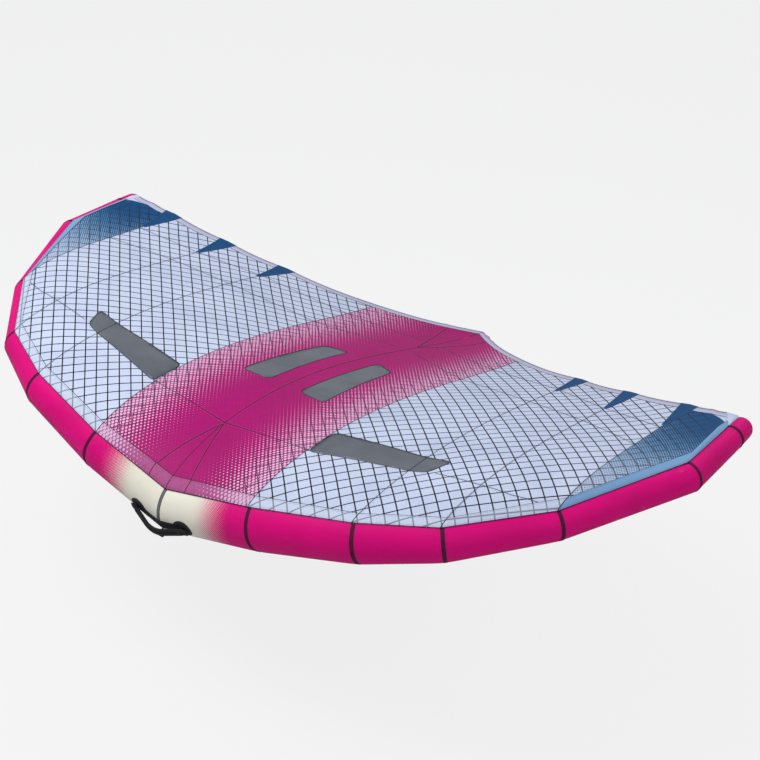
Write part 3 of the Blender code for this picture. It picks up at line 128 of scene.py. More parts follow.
WEB_TAIL_SHARE = 0.70
HANDLE_HALF_REACH = 0.105
HANDLE_LOBE_RADIUS = 0.043
HANDLE_BAND_HALF = 0.022
HANDLE_DEGREES = 115.0
HANDLE_PATCH_WALL = 0.0024
STRAP_HALF_REACH = 0.136
STRAP_LIFT_OFF = 0.116
STRAP_STAND_OFF = 0.028
STRAP_WIDTH = 0.034
STRAP_THICKNESS = 0.018
STRAP_ARCH_POWER = 0.7
LEASH_OUTWARD = Vector((0.0, -math.sqrt(0.5), -math.sqrt(0.5)))
LEASH_ROOT = Vector((0.0, -0.80418, 0.08332))
LEASH_LOOP_WIDTH = 0.020
LEASH_LOOP_LENGTH = 0.030
LEASH_LOOP_RADIUS = 0.0075
LEASH_WEBBING = 0.0020
LEASH_ROOT_RADIUS = 0.0030
LEASH_HOLE_START = 0.0090
LEASH_HOLE_RADIUS = 0.0012
VALVE_SURFACE = Vector((0.208091, -0.622783, 0.14225))
VALVE_AXIS = Vector((0.027205, 0.792363, -0.609443))
VALVE_FLANGE_RADIUS = 0.030
VALVE_HOLE_RADIUS = VALVE_FLANGE_RADIUS + 0.0006
LEASH_DEGREES = 135.0
LEASH_PATCH = (0.077, 0.027)
STRUT_END = ((0.45, 0.76), (0.73, 0.54), (0.91, 0.31), (1.0, 0.01))

# Plan lines of the canopy's cross seams and patches, on the left half
SEAM_LINES = (
    ((0.090, -0.760), (0.066, -0.680), (0.003, -0.476)),
    ((0.0, -0.464), (0.37, -0.444), (0.398, -0.440)),
    ((0.900, -0.344), (1.20, -0.320), (1.36, -0.270)),
    ((0.04, 0.74), (0.41, 0.58), (0.80, 0.46), (1.08, 0.38), (1.36, 0.26)),
    ((0.04, 0.97), (0.41, 0.83), (0.80, 0.69), (1.07, 0.56), (1.36, 0.46)),
    ((0.003, 0.84), (0.05, 1.00), (0.10, 1.20), (0.12, 1.36)))
NOSE_SEAM_PLACE = 0.236
TIP_PATCH = ((1.40, 0.76), (1.411, 0.688), (1.58, 0.56), (1.62, 0.44), (1.72, 0.44), (1.72, 0.80))

# The photograph's largest view
CAMERA_ANGLES = (37.9609, 28.4132, 2.6308)
CAMERA_DISTANCE = 0.5 / 0.0785805
CAMERA_SCALE = 122.2449
CAMERA_SHIFT = ((380.0 - 304.9005) / 760, (573.6042 - 570.0) / 760)
CAMERA_AIM = Vector((0.0, 0.026, 0.3885))

# The studio
FLOOR_REACH = 60.0
FLOOR_HEIGHT = -0.62
LAMP_AIM = Vector((0.0, 0.2, 0.3))
WHITE = (1.0, 1.0, 1.0, 1.0)

FINISHES = {}
CLOTH_SHEEN = {"Specular IOR Level": 0.14}
MATT_SHEEN = {"Specular IOR Level": 0.12}


def linear(hexed):
    """A colour written as sRGB hex, as linear red, green and blue."""
    parts = [int(hexed[i:i + 2], 16) / 255 for i in (1, 3, 5)]
    return tuple(c / 12.92 if c <= 0.04045 else ((c + 0.055) / 1.055) ** 2.4 for c in parts)


def mix(a, b, share):
    """The value or point a share of the way from a to b."""
    return a + (b - a) * share


def between(values, place):
    """Read a table at a fractional place."""
    first = min(int(place), len(values) - 2)
    return mix(values[first], values[first + 1], place - first)


def steps(start, end, count):
    """Evenly spaced values, both ends among them."""
    return [mix(start, end, i / count) for i in range(count + 1)]


def on_side(point, place):
    """A left-hand point, carried to the side that the sign of a place tells."""
    return Vector((math.copysign(point.x, place) if place else 0.0, point.y, point.z))


def ramp_value(value, low, high):
    """A smooth step as a number."""
    t = min(max((value - low) / (high - low), 0.0), 1.0)
    return t * t * (3 - 2 * t)


def link(obj):
    """Put an object in the scene."""
    bpy.context.scene.collection.objects.link(obj)


# The frame's own forms, as smooth surfaces

def le_stations():
    """Centre and radius of the leading edge at each seam and at the shoulder of its tip."""
    made = []
    for out, back, rise, taper in zip(LE_SPAN_SHARES, LE_SWEEP_SHARES, LE_RISE_SHARES, LE_TAPER_SHARES):
        centre = LE_CENTRE + Vector((out * HALF_SPAN, back * CANOPY_CHORD, rise * ARCH_HEIGHT))
        made.append((centre, taper * LE_RADIUS))
    along = (made[-1][0] - made[-2][0]).normalized()
    made.append((made[-1][0] + along * (TIP_CAP_LENGTH * CAP_SHOULDER_SHARE), CAP_TAPER_SHARE * LE_RADIUS))
    return made


STATIONS = le_stations()
TIP_SEAM = len(STATIONS) - 2


def le_frame(index):
    """Axis, upward and outward directions of one seam ring."""
    if index == 0:
        along = Vector((1.0, 0.0, 0.0))
    else:
        along = (STATIONS[index][0] - STATIONS[index - 1][0]).normalized()
        if index < len(STATIONS) - 1:
            along = (along + (STATIONS[index + 1][0] - STATIONS[index][0]).normalized()).normalized()
    top = (UP - along * UP.dot(along)).normalized()
    return along, top, along.cross(top)


LE_FRAMES = [le_frame(i) for i in range(len(STATIONS))]


def le_ring_point(index, degrees, lift):
    """A point of one seam ring; degrees turn from the top towards the front."""
    centre, radius = STATIONS[index]
    _, top, outer = LE_FRAMES[index]
    angle = math.radians(degrees)
    return centre + (top * math.cos(angle) + outer * math.sin(angle)) * (radius + lift)


def le_point(place, degrees, lift=0.0):
    """A point on the leading edge; place counts seams from the centre."""
    first = min(int(place), len(STATIONS) - 2)
    return mix(le_ring_point(first, degrees, lift), le_ring_point(first + 1, degrees, lift), place - first)


def le_length(index):
    """Length of one panel's centre line."""
    return (STATIONS[index + 1][0] - STATIONS[index][0]).length


def te_point(place):
    """Trailing edge, drawn in between seams."""
    first = min(int(place), len(TE_HOLLOW_SHARES) - 1)
    hollow = TE_HOLLOW * TE_HOLLOW_SHARES[first] * math.sin(math.pi * (place - first))
    root = le_ring_point(0, ATTACH_DEGREES[0], CANOPY_LIFT)
    aft = root.y + CANOPY_CHORD - between(TE_FORWARD_SHARES, place) * CANOPY_CHORD - hollow
    rise = root.z - TE_BELOW_ATTACHMENT + between(TE_RISE_SHARES, place) * ARCH_HEIGHT
    return Vector((between(TE_SPAN_SHARES, place) * HALF_SPAN, aft, rise))


def attach_point(place):
    """The line where the canopy is sewn to the leading edge."""
    first = min(int(place), len(STATIONS) - 2)
    low = le_ring_point(first, ATTACH_DEGREES[first], CANOPY_LIFT)
    high = le_ring_point(first + 1, ATTACH_DEGREES[first + 1], CANOPY_LIFT)
    return mix(low, high, place - first)


def camber_shape(share, peak):
    """Unit camber curve with a steep nose."""
    tail = CAMBER_NOSE_POWER * (1 - peak) / peak
    share = min(max(share, 0.0), 1.0)
    return share ** CAMBER_NOSE_POWER * (1 - share) ** tail / (peak ** CAMBER_NOSE_POWER * (1 - peak) ** tail)


def canopy_flat_point(place, share):
    """A point on the middle of the cloth; share runs from the leading to the trailing edge."""
    front, rear = attach_point(place), te_point(place)
    shape = camber_shape(share, between(CAMBER_PEAK_SHARES, place))
    height = between(CAMBER_SHARES, place) * (rear - front).length * shape
    first = min(int(place), len(TE_HOLLOW_SHARES) - 1)
    height += PANEL_BILLOW * math.sin(math.pi * (place - first)) * shape
    return mix(front, rear, share) + UP * height


def canopy_point(place, share, lift=0.0):
    """A point of the cloth at a signed place, negative on the right, moved off it squarely."""
    far = abs(place)
    point = canopy_flat_point(far, share)
    if lift:
        step = 0.004
        fore, aft = (canopy_flat_point(far, min(max(share + s, 0.0), 1.0)) for s in (-step, step))
        low, high = (canopy_flat_point(min(max(far + s, 0.0), 6.999), share) for s in (-step, step))
        normal = (high - low).cross(aft - fore).normalized()
        point = point + normal * (lift if normal.z > 0 else -lift)
    return on_side(point, place)


def chord_at(place):
    """Length of the rib at a place."""
    return (te_point(abs(place)) - attach_point(abs(place))).length


def facet_shares(place):
    """The frame's own steps along a rib."""
    front = min(DOUBLER_WIDTH / chord_at(place), STRIP_LIMIT_SHARE)
    rear = 1 - min(HEM_WIDTH / chord_at(place), STRIP_LIMIT_SHARE)
    return [0.0] + [mix(front, rear, (i / 10) ** 1.45) for i in range(11)] + [1.0]


CENTRE_LINE = [canopy_flat_point(0.0, share) for share in facet_shares(0.0)]


def canopy_height(aft):
    """Height of the cloth's centre line at a distance aft of the grip."""
    for low, high in zip(CENTRE_LINE, CENTRE_LINE[1:]):
        if aft <= high.y:
            return mix(low.z, high.z, (aft - low.y) / (high.y - low.y))
    return CENTRE_LINE[-1].z


def strut_aft(share):
    """Distance aft of the grip for a share of the strut's length."""
    return share * STRUT_LENGTH - STRUT_NOSE_AHEAD


def strut_rings_table():
    """Place, centre height and radius of the strut's rings; the last ones sag clear of the canopy's edge."""
    made = []
    for share, low, width in STRUT_FRONT_SHARES:
        made.append((share, low * HAND_ROOM + width * STRUT_RADIUS, width * STRUT_RADIUS))
    for share, width in STRUT_AFT_SHARES:
        radius = width * STRUT_RADIUS
        made.append((share, canopy_height(strut_aft(share)) - STRUT_TOP_ROOM - radius, radius))
    start, level, _ = made[-1]
    for share, width in STRUT_TAIL_SHARES:
        made.append((share, level - STRUT_TAIL_SAG * (share - start) / (1 - start), width * STRUT_RADIUS))
    return made


STRUT_TABLE = strut_rings_table()


def strut_section(share):
    """Centre height and radius of the strut, on a smooth curve through its rings."""
    rows = STRUT_TABLE
    share = min(max(share, rows[0][0]), rows[-1][0])
    at = next(i for i in range(len(rows) - 1) if share <= rows[i + 1][0])
    low, high = rows[at], rows[at + 1]
    before, after = rows[max(at - 1, 0)], rows[min(at + 2, len(rows) - 1)]
    width = high[0] - low[0]
    t = (share - low[0]) / width
    values = []
    for k in (1, 2):
        start = (high[k] - before[k]) / (high[0] - before[0]) * width
        end = (after[k] - low[k]) / (after[0] - low[0]) * width
        values.append((2 * t ** 3 - 3 * t ** 2 + 1) * low[k] + (t ** 3 - 2 * t ** 2 + t) * start
                      + (3 * t ** 2 - 2 * t ** 3) * high[k] + (t ** 3 - t ** 2) * end)
    if share > STRUT_FRONT_SHARES[-1][0]:
        top = canopy_height(min(strut_aft(share), te_point(0.0).y)) - STRUT_TOP_ROOM
        values[0] = min(values[0], top - values[1])
    return values


# Meshes

def new_bag():
    """Points, faces, material slots and UV maps that are gathered before they become a piece."""
    return {"points": [], "faces": [], "slots": [], "uvs": {}}


def add_slab(bag, top, bottom, uv_rows, wrap=False, slots=(0, 0), row_slots=None):
    """Add a closed sheet between two grids of points; wrap joins each row's ends."""
    rows, columns = len(top), len(top[0])
    start, count = len(bag["points"]), rows * columns
    for grid in (top, bottom):
        bag["points"] += [p for row in grid for p in row]
    for layer, values in uv_rows.items():
        bag["uvs"].setdefault(layer, []).extend([v for row in values for v in row] * 2)
    spans = columns if wrap else columns - 1
    edge = []
    for r in range(rows - 1):
        mark = row_slots[r] if row_slots else 0
        for c in range(spans):
            a, b = start + r * columns + c, start + r * columns + (c + 1) % columns
            e, f = b + columns, a + columns
            bag["faces"] += [(a, b, e, f), (a + count, f + count, e + count, b + count)]
            bag["slots"] += [slots[0] + mark, slots[1] + mark]
        if not wrap:
            a = start + r * columns
            edge += [(a, a + columns, mark), (a + 2 * columns - 1, a + columns - 1, mark)]
    last = start + (rows - 1) * columns
    for c in range(spans):
        d = (c + 1) % columns
        first_mark, last_mark = (row_slots[0], row_slots[-1]) if row_slots else (0, 0)
        edge += [(start + d, start + c, first_mark), (last + c, last + d, last_mark)]
    for a, b, mark in edge:
        bag["faces"].append((a, b, b + count, a + count))
        bag["slots"].append(slots[0] + mark)


def add_loft(bag, rows, uv_rows):
    """Add a closed solid through rings."""
    start, count = len(bag["points"]), len(rows[0])
    bag["points"] += [p for row in rows for p in row]
    for layer, values in uv_rows.items():
        bag["uvs"].setdefault(layer, []).extend(v for row in values for v in row)
    last = start + (len(rows) - 1) * count
    made = [(start + r * count + c, start + r * count + (c + 1) % count,
             start + (r + 1) * count + (c + 1) % count, start + (r + 1) * count + c)
            for r in range(len(rows) - 1) for c in range(count)]
    made += [tuple(range(start, start + count))[::-1], tuple(range(last, last + count))]
    bag["faces"] += made
    bag["slots"] += [0] * len(made)


def add_ribbon(bag, path, width, height):
    """Add a thin strip along points with their normals; a path whose ends are one point is closed."""
    loop = (path[0][0] - path[-1][0]).length < GAP
    path = path[:-1] if loop else path
    start, count, run = len(bag["points"]), len(path), 0.0
    for i, (point, normal) in enumerate(path):
        before = path[i - 1][0] if i or loop else point
        after = path[(i + 1) % count][0] if i + 1 < count or loop else point
        side = normal.cross(after - before).normalized() * (width / 2)
        rise = normal * (height / 2)
        bag["points"] += [point + side + rise, point - side + rise, point - side - rise, point + side - rise]
        run += (point - before).length
        bag["uvs"].setdefault("wrap", []).extend([(run, 1.0), (run, -1.0), (run, -1.0), (run, 1.0)])
    made = []
    for i in range(count if loop else count - 1):
        a, b = start + 4 * i, start + 4 * ((i + 1) % count)
        made += [(a + k, b + k, b + (k + 1) % 4, a + (k + 1) % 4) for k in range(4)]
    if not loop:
        end = start + 4 * (count - 1)
        made += [tuple(range(start + 3, start - 1, -1)), tuple(range(end, end + 4))]
    bag["faces"] += made
    bag["slots"] += [0] * len(made)


def piece(name, bag, finishes, replaced=(), body=WING):
    """A mesh object at the origin that rides on a body and stands for the frame's own solids."""
    mesh = bpy.data.meshes.new(name)
    mesh.from_pydata([tuple(p) for p in bag["points"]], [], bag["faces"])
    for key in finishes:
        mesh.materials.append(FINISHES[key])
    mesh.polygons.foreach_set("material_index", bag["slots"])
    for layer, values in bag["uvs"].items():
        made = mesh.uv_layers.new(name=layer)
        made.data.foreach_set("uv", [v for loop in mesh.loops for v in values[loop.vertex_index]])
    mesh.shade_smooth()
    mesh.set_sharp_from_angle(angle=math.radians(50))
    volume = sum(a.dot(b.cross(c)) for face in mesh.polygons
                 for a, b, c in fan([mesh.vertices[i].co for i in face.vertices]))
    if volume < 0:
        mesh.flip_normals()
    obj = bpy.data.objects.new(name, mesh)
    link(obj)
    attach(obj, body)
    if replaced:
        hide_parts(*replaced)
    return obj


def fan(corners):
    """The triangles of a face."""
    return [(corners[0], b, c) for b, c in zip(corners[1:], corners[2:])]


def slab(name, top, bottom, finishes, uv_rows, replaced=(), wrap=False, slots=(0, 0), row_slots=None, body=WING):
    """A piece that is one closed sheet."""
    bag = new_bag()
    add_slab(bag, top, bottom, uv_rows, wrap, slots, row_slots)
    return piece(name, bag, finishes, replaced, body)


def bake(obj):
    """Turn an object's modifiers into its plain mesh."""
    bpy.context.view_layer.update()
    graph = bpy.context.evaluated_depsgraph_get()
    mesh = bpy.data.meshes.new_from_object(obj.evaluated_get(graph), preserve_all_data_layers=True, depsgraph=graph)
    obj.modifiers.clear()
    obj.data = mesh


def area_of(corners):
    """Signed area of a plan outline."""
    return sum(a[0] * b[1] - b[0] * a[1] for a, b in zip(corners, corners[1:] + corners[:1])) / 2


def cut(obj, outlines, keep=False, low=-0.5, high=1.2, place=None):
    """Cut away, or keep, what upright prisms over plan outlines cover."""
    points, faces = [], []
    for outline in outlines:
        outline = outline if area_of(outline) > 0 else outline[::-1]
        start, count = len(points), len(outline)
        for height in (low, high):
            points += [Vector((p[0], p[1], height)) for p in outline]
        faces += [tuple(range(start + count - 1, start - 1, -1)), tuple(range(start + count, start + 2 * count))]
        faces += [(start + i, start + (i + 1) % count, start + count + (i + 1) % count, start + count + i)
                  for i in range(count)]
    mesh = bpy.data.meshes.new("cutter")
    mesh.from_pydata(points, [], faces)
    if place:
        mesh.transform(place)
    subtract(obj, mesh, keep)


def subtract(obj, mesh, keep=False):
    """Cut an object with a closed mesh, exactly."""
    cutter = bpy.data.objects.new("cutter", mesh)
    link(cutter)
    made = obj.modifiers.new("cut", "BOOLEAN")
    made.operation = "INTERSECT" if keep else "DIFFERENCE"
    made.solver = "EXACT"
    made.object = cutter
    bake(obj)
    bpy.data.objects.remove(cutter, do_unlink=True)


def ring_rows(path, across, radius, sides):
    """Rings of a round section along a path; across is square to the path's plane."""
    rows = []
    for i, point in enumerate(path):
        along = (path[min(i + 1, len(path) - 1)] - path[max(i - 1, 0)]).normalized()
        up = across.cross(along)
        rows.append([point + (across * math.cos(a) + up * math.sin(a)) * radius
                     for a in (2 * math.pi * k / sides for k in range(sides))])
    return rows


# Sewing

def stitch_tree():
    """Nodes that lay one short thread at every pitch along each line, with small fixed irregularities."""
    tree = bpy.data.node_groups.new("stitch_run", "GeometryNodeTree")
    for name, way, kind in (("Lines", "INPUT", "NodeSocketGeometry"), ("Pitch", "INPUT", "NodeSocketFloat"),
                            ("Length", "INPUT", "NodeSocketFloat"), ("Thickness", "INPUT", "NodeSocketFloat"),
                            ("Thread", "INPUT", "NodeSocketMaterial"), ("Stitches", "OUTPUT", "NodeSocketGeometry")):
        tree.interface.new_socket(name, in_out=way, socket_type=kind)
    given = tree.nodes.new("NodeGroupInput").outputs
    curve = put(tree, "GeometryNodeMeshToCurve", {"Mesh": given["Lines"]})
    spots = put(tree, "GeometryNodeResampleCurve", {"Curve": curve, "Length": given["Pitch"]}, mode="LENGTH")
    bead = put(tree, "GeometryNodeMeshUVSphere", {"Segments": 5, "Rings": 3, "Radius": 0.5})
    turn = put(tree, "FunctionNodeAlignRotationToVector", {"Vector": put(tree, "GeometryNodeInputTangent")}, axis="X")
    size = put(tree, "ShaderNodeCombineXYZ", {0: given["Length"], 1: given["Thickness"], 2: given["Thickness"]})
    vary = put(tree, "FunctionNodeRandomValue", {0: (0.88, 0.9, 0.9), 1: (1.1, 1.1, 1.1), "Seed": 7},
               data_type="FLOAT_VECTOR")
    scale = put(tree, "ShaderNodeVectorMath", {0: size, 1: vary}, operation="MULTIPLY")
    laid = put(tree, "GeometryNodeInstanceOnPoints",
               {"Points": spots, "Instance": bead, "Rotation": turn, "Scale": scale})
    real = put(tree, "GeometryNodeRealizeInstances", {0: laid})
    done = put(tree, "GeometryNodeSetMaterial", {"Geometry": real, "Material": given["Thread"]})
    put(tree, "NodeGroupOutput", {"Stitches": done})
    return tree


def sew(name, runs, key, sewing, body=WING):
    """Lay stitches along runs of points."""
    points, edges = [], []
    for run in runs:
        edges += [(len(points) + i, len(points) + i + 1) for i in range(len(run) - 1)]
        points += [tuple(p) for p in run]
    mesh = bpy.data.meshes.new(name)
    mesh.from_pydata(points, edges, [])
    obj = bpy.data.objects.new(name, mesh)
    link(obj)
    made = obj.modifiers.new("stitches", "NODES")
    tree = bpy.data.node_groups.get("stitch_run") or stitch_tree()
    values = {"Pitch": sewing.stitch_pitch, "Length": sewing.stitch_length, "Thickness": sewing.thread_width,
              "Thread": FINISHES[key]}
    made.node_group = tree
    for socket in tree.interface.items_tree:
        if socket.name in values:
            made[socket.identifier] = values[socket.name]
    bake(obj)
    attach(obj, body)


# Materials

def put(tree, kind, ins=None, **choices):
    """Add a node, set its choices, and fill or link its inputs."""
    made = tree.nodes.new(kind)
    for name, value in choices.items():
        setattr(made, name, value)
    for key, value in (ins or {}).items():
        if isinstance(value, bpy.types.NodeSocket):
            tree.links.new(value, made.inputs[key])
        else:
            made.inputs[key].default_value = value
    return made.outputs[0] if made.outputs else made


def calc(tree, operation, *values):
    """One step of arithmetic."""
    return put(tree, "ShaderNodeMath", dict(enumerate(values)), operation=operation)


def rgba(colour):
    """A setting's colour, or one written as hex, with full cover."""
    return (*(linear(colour) if isinstance(colour, str) else colour), 1.0)


def tint(tree, share, low, high):
    """Mix two colours."""
    made = tree.nodes.new("ShaderNodeMix")
    made.data_type = "RGBA"
    for key, value in ((0, share), (6, low), (7, high)):
        if isinstance(value, bpy.types.NodeSocket):
            tree.links.new(value, made.inputs[key])
        else:
            made.inputs[key].default_value = value if key == 0 else rgba(value)
    return made.outputs[2]


def finish(key, name, roughness, work, **fixed):
    """Keep a material whose work gives a colour and a height in metres."""
    made = bpy.data.materials.new(name)
    made.use_nodes = True
    tree = made.node_tree
    tree.nodes.clear()
    colour, height = work(tree)
    ins = {"Roughness": roughness, "Base Color": colour, **fixed}
    if height is not None:
        ins["Normal"] = put(tree, "ShaderNodeBump", {"Strength": 1.0, "Distance": 1.0, "Height": height})
    put(tree, "ShaderNodeOutputMaterial", {"Surface": put(tree, "ShaderNodeBsdfPrincipled", ins)})
    FINISHES[key] = made


def axes(tree, layer):
    """The two axes of a UV map."""
    made = tree.nodes.new("ShaderNodeSeparateXYZ")
    tree.links.new(put(tree, "ShaderNodeUVMap", uv_map=layer), made.inputs[0])
    return made.outputs[0], made.outputs[1]


def ramp(tree, value, low, high, start=0.0, end=1.0):
    """A smooth step between two values."""
    return put(tree, "ShaderNodeMapRange", {0: value, 1: low, 2: high, 3: start, 4: end},
               interpolation_type="SMOOTHSTEP")


def noise(tree, x, y, scale, detail=3.0, stretch=1.0):
    """Soft random cloud in metres; stretch draws it out along y."""
    spread = put(tree, "ShaderNodeCombineXYZ", {0: x, 1: calc(tree, "MULTIPLY", y, stretch)})
    return put(tree, "ShaderNodeTexNoise", {"Vector": spread, "Scale": scale, "Detail": detail})


def relief(tree, *parts):
    """Add heights, each a socket with its size in metres."""
    total = 0.0
    for socket, metres in parts:
        total = put(tree, "ShaderNodeMath", {0: socket, 1: metres, 2: total}, operation="MULTIPLY_ADD")
    return total


def stripes(tree, across, gap, width):
    """Lines of one width, one gap apart, with soft edges."""
    part = calc(tree, "FRACT", calc(tree, "DIVIDE", across, gap))
    near = calc(tree, "ABSOLUTE", calc(tree, "SUBTRACT", part, 0.5))
    edge = 0.5 - width / gap / 2
    return ramp(tree, near, edge - 0.01, edge + 0.01)


def load_grid(tree, x, y, sewing):
    """The load-bearing yarns: two families of dark lines that cross on the bias."""
    lines = [stripes(tree, calc(tree, "MULTIPLY", calc(tree, way, x, y), 0.7071), sewing.grid_gap, sewing.grid_width)
             for way in ("ADD", "SUBTRACT")]
    return calc(tree, "MAXIMUM", *lines)


def halftone(tree, x, y, pitch, row, radius):
    """Staggered printed dots, whose radius may change over the cloth."""
    p, q = calc(tree, "DIVIDE", x, pitch), calc(tree, "DIVIDE", y, row * 2)
    a, b = (calc(tree, "SUBTRACT", calc(tree, "FRACT", calc(tree, way, p, q)), 0.5) for way in ("ADD", "SUBTRACT"))
    dx = calc(tree, "MULTIPLY", calc(tree, "ADD", a, b), pitch / 2)
    dy = calc(tree, "MULTIPLY", calc(tree, "SUBTRACT", a, b), row)
    away = calc(tree, "SQRT", calc(tree, "ADD", calc(tree, "MULTIPLY", dx, dx), calc(tree, "MULTIPLY", dy, dy)))
    return ramp(tree, calc(tree, "SUBTRACT", radius, away), -pitch * 0.05, pitch * 0.05)


def weave(tree, x, y, cell):
    """Fine woven squares with a thicker yarn round each."""
    return calc(tree, "MAXIMUM", stripes(tree, x, cell, cell * 0.18), stripes(tree, y, cell, cell * 0.18))


def shaded(tree, x, y, base, deep, amount=0.5, scale=3.5):
    """A colour with the slow changes of stretched and handled cloth."""
    return tint(tree, ramp(tree, noise(tree, x, y, scale, 4.0), 0.35, 0.75, 0.0, amount), base, deep)


def cloth_relief(tree, x, y, cell, *more):
    """Weave and slow waves, with whatever else presses on the cloth, as a height in metres."""
    return relief(tree, (weave(tree, x, y, cell), 0.00012), (noise(tree, x, y, 5.0, 2.0), 0.005), *more)


def centre_print(tree, x, y, far, out, share, grid, cloth, sewing, under):
    """Magenta ink that opens into white dots towards its outer seam."""
    # The magenta's upper copy carries painted sky light and its lower copy painted ground light; on the lower face
    # the dots take the pale cloth's painted ground light.
    base = shaded(tree, x, y, cloth.magenta_painted_ground_light if under else cloth.magenta_painted_sky_light, cloth.magenta_worn)
    dots = halftone(tree, out, y, sewing.dot_pitch, sewing.dot_row,
                    ramp(tree, far, 0.15, 1.0, 0.0, sewing.dot_pitch * 0.34))
    colour = tint(tree, calc(tree, "MULTIPLY", dots, 0.8), base, cloth.white_painted_ground_light if under else cloth.dot_pink)
    lines = calc(tree, "MULTIPLY", grid, ramp(tree, far, 0.35, 0.9, 0.08, 0.85))
    return tint(tree, lines, colour, cloth.grid_magenta)


def white_print(tree, x, y, far, out, share, grid, cloth, sewing, under):
    """Bare lilac cloth under its dark load grid."""
    # Lit and shaded copies of one pale cloth: the upper face's colour carries painted sky light, the lower face's
    # painted ground light, and the grid likewise.
    base = shaded(tree, x, y, cloth.white_painted_ground_light if under else cloth.white_painted_sky_light,
                  cloth.white_painted_ground_light_worn if under else cloth.white_worn, 0.7)
    return tint(tree, grid, base, cloth.grid_painted_ground_light if under else cloth.grid_painted_sky_light)


def tip_print(tree, x, y, far, out, share, grid, cloth, sewing, under):
    """Blue ink that breaks into pale dots inwards and forwards."""
    # The blue's upper copy carries painted sky light and its lower copy painted ground light, as does the grid; the
    # pale dots take the lilac's painted sky light on both faces.
    base = shaded(tree, x, y, cloth.blue_painted_ground_light if under else cloth.blue_painted_sky_light, cloth.blue_worn)
    reach = calc(tree, "ADD", calc(tree, "MULTIPLY", far, 0.5), share)
    dots = halftone(tree, out, y, sewing.tip_dot, sewing.tip_dot * 0.63,
                    ramp(tree, reach, 3.35, 2.15, 0.0, sewing.tip_dot * 0.42))
    pale = tint(tree, ramp(tree, reach, 2.75, 2.05), cloth.blue_pale, cloth.white_painted_sky_light)
    colour = tint(tree, calc(tree, "MULTIPLY", dots, 0.85), base, pale)
    lines = calc(tree, "MULTIPLY", grid, ramp(tree, far, 5.6, 4.2, 0.1, 0.75))
    return tint(tree, lines, colour, cloth.grid_painted_ground_light if under else cloth.grid_painted_sky_light)


CANOPY_PRINTS = {"centre": ("magenta", centre_print), "white": ("lilac", white_print), "tip": ("blue", tip_print)}


def canopy_finish(key, cloth, sewing, under):
    """Sailcloth of one canopy region: its print, load grid, weave and gathers."""
    word, ink = CANOPY_PRINTS[key]

    def work(tree):
        x, y = axes(tree, "plan")
        place, share = axes(tree, "rib")
        far, out = calc(tree, "ABSOLUTE", place), calc(tree, "ABSOLUTE", x)
        colour = ink(tree, x, y, far, out, share, load_grid(tree, out, y, sewing), cloth, sewing, under)
        part = calc(tree, "FRACT", far)
        near = calc(tree, "MINIMUM", part, calc(tree, "SUBTRACT", 1.0, part))
        gather = calc(tree, "MULTIPLY", noise(tree, x, y, 38.0, 2.0, 1.6), ramp(tree, near, 0.16, 0.0))
        fold = calc(tree, "MULTIPLY", noise(tree, x, y, 30.0, 2.0, 0.12), ramp(tree, share, 0.20, 0.0))
        # The real weave squares are 5 mm and their yarns 0.3 mm; the yarns are drawn at about 1 mm
        return colour, cloth_relief(tree, x, y, 0.005, (gather, 0.0022), (fold, 0.0035))
    # The lower face's material is a copy of the upper one whose colours carry painted ground light, where the upper
    # one's carry painted sky light.
    finish(("under_" if under else "canopy_") + key,
           f"screen_printed_{word}_polyester_ripstop_{'lower' if under else 'upper'}_face", 0.52, work,
           **CLOTH_SHEEN)


def strip_finish(key, name, top, worn, under, pale_edge=None, edge=0.0):
    """A strip of sailcloth: its upper and lower colours, which for the darts and lilac patches carry painted sky
    light above and painted ground light below, and a darker line near each long edge.
    """
    def work(tree):
        x, y = axes(tree, "plan")
        _, across = axes(tree, "wrap")
        base = tint(tree, calc(tree, "GREATER_THAN", across, 0.0), under, shaded(tree, x, y, top, worn))
        away = calc(tree, "ABSOLUTE", across)
        if pale_edge:
            base = tint(tree, ramp(tree, away, edge - 0.0022, edge - 0.0014), base, pale_edge)
            cord = ramp(tree, calc(tree, "ABSOLUTE", calc(tree, "SUBTRACT", away, 0.0075)), 0.0019, 0.0012)
            base = tint(tree, cord, base, pale_edge)
        return base, cloth_relief(tree, x, y, 0.005)
    finish(key, name, 0.55, work, **CLOTH_SHEEN)


def canopy_finishes(cloth, sewing):
    """Finishes of the canopy's cloth, its hem, darts and patches."""
    # Ripstop woven from coated polyester and screen printed: the resin gives a low, even sheen,
    # and the ink leaves the weave readable
    # Each region gets an upper and a lower material: lit and shaded copies, with painted sky light above and painted
    # ground light below.
    for key in ("centre", "white", "tip"):
        canopy_finish(key, cloth, sewing, False)
        canopy_finish(key, cloth, sewing, True)

    # The same ripstop folded over the rear edge and zig-zag sewn: a flat strip with dark sewn lines
    # The hem's lower face takes the pale cloth's colour with painted ground light.
    strip_finish("hem", "folded_polyester_ripstop_hem", cloth.hem, cloth.hem_worn, cloth.white_painted_ground_light,
                 cloth.seam, HEM_WIDTH)

    # Dyed ripstop, cut hot and glued before sewing: deep even blue with crisp edges
    # Darts and lilac patches take colours with painted sky light above and painted ground light below.
    strip_finish("dart", "hot_cut_blue_polyester_ripstop", cloth.blue_painted_sky_light, cloth.blue_worn, cloth.blue_painted_ground_light)
    strip_finish("patch", "hot_cut_lilac_polyester_ripstop", cloth.white_painted_sky_light, cloth.white_worn, cloth.white_painted_ground_light)

    strip_finish("patch_cream", "hot_cut_cream_polyester_ripstop", cloth.cream, cloth.cream_worn, cloth.cream)


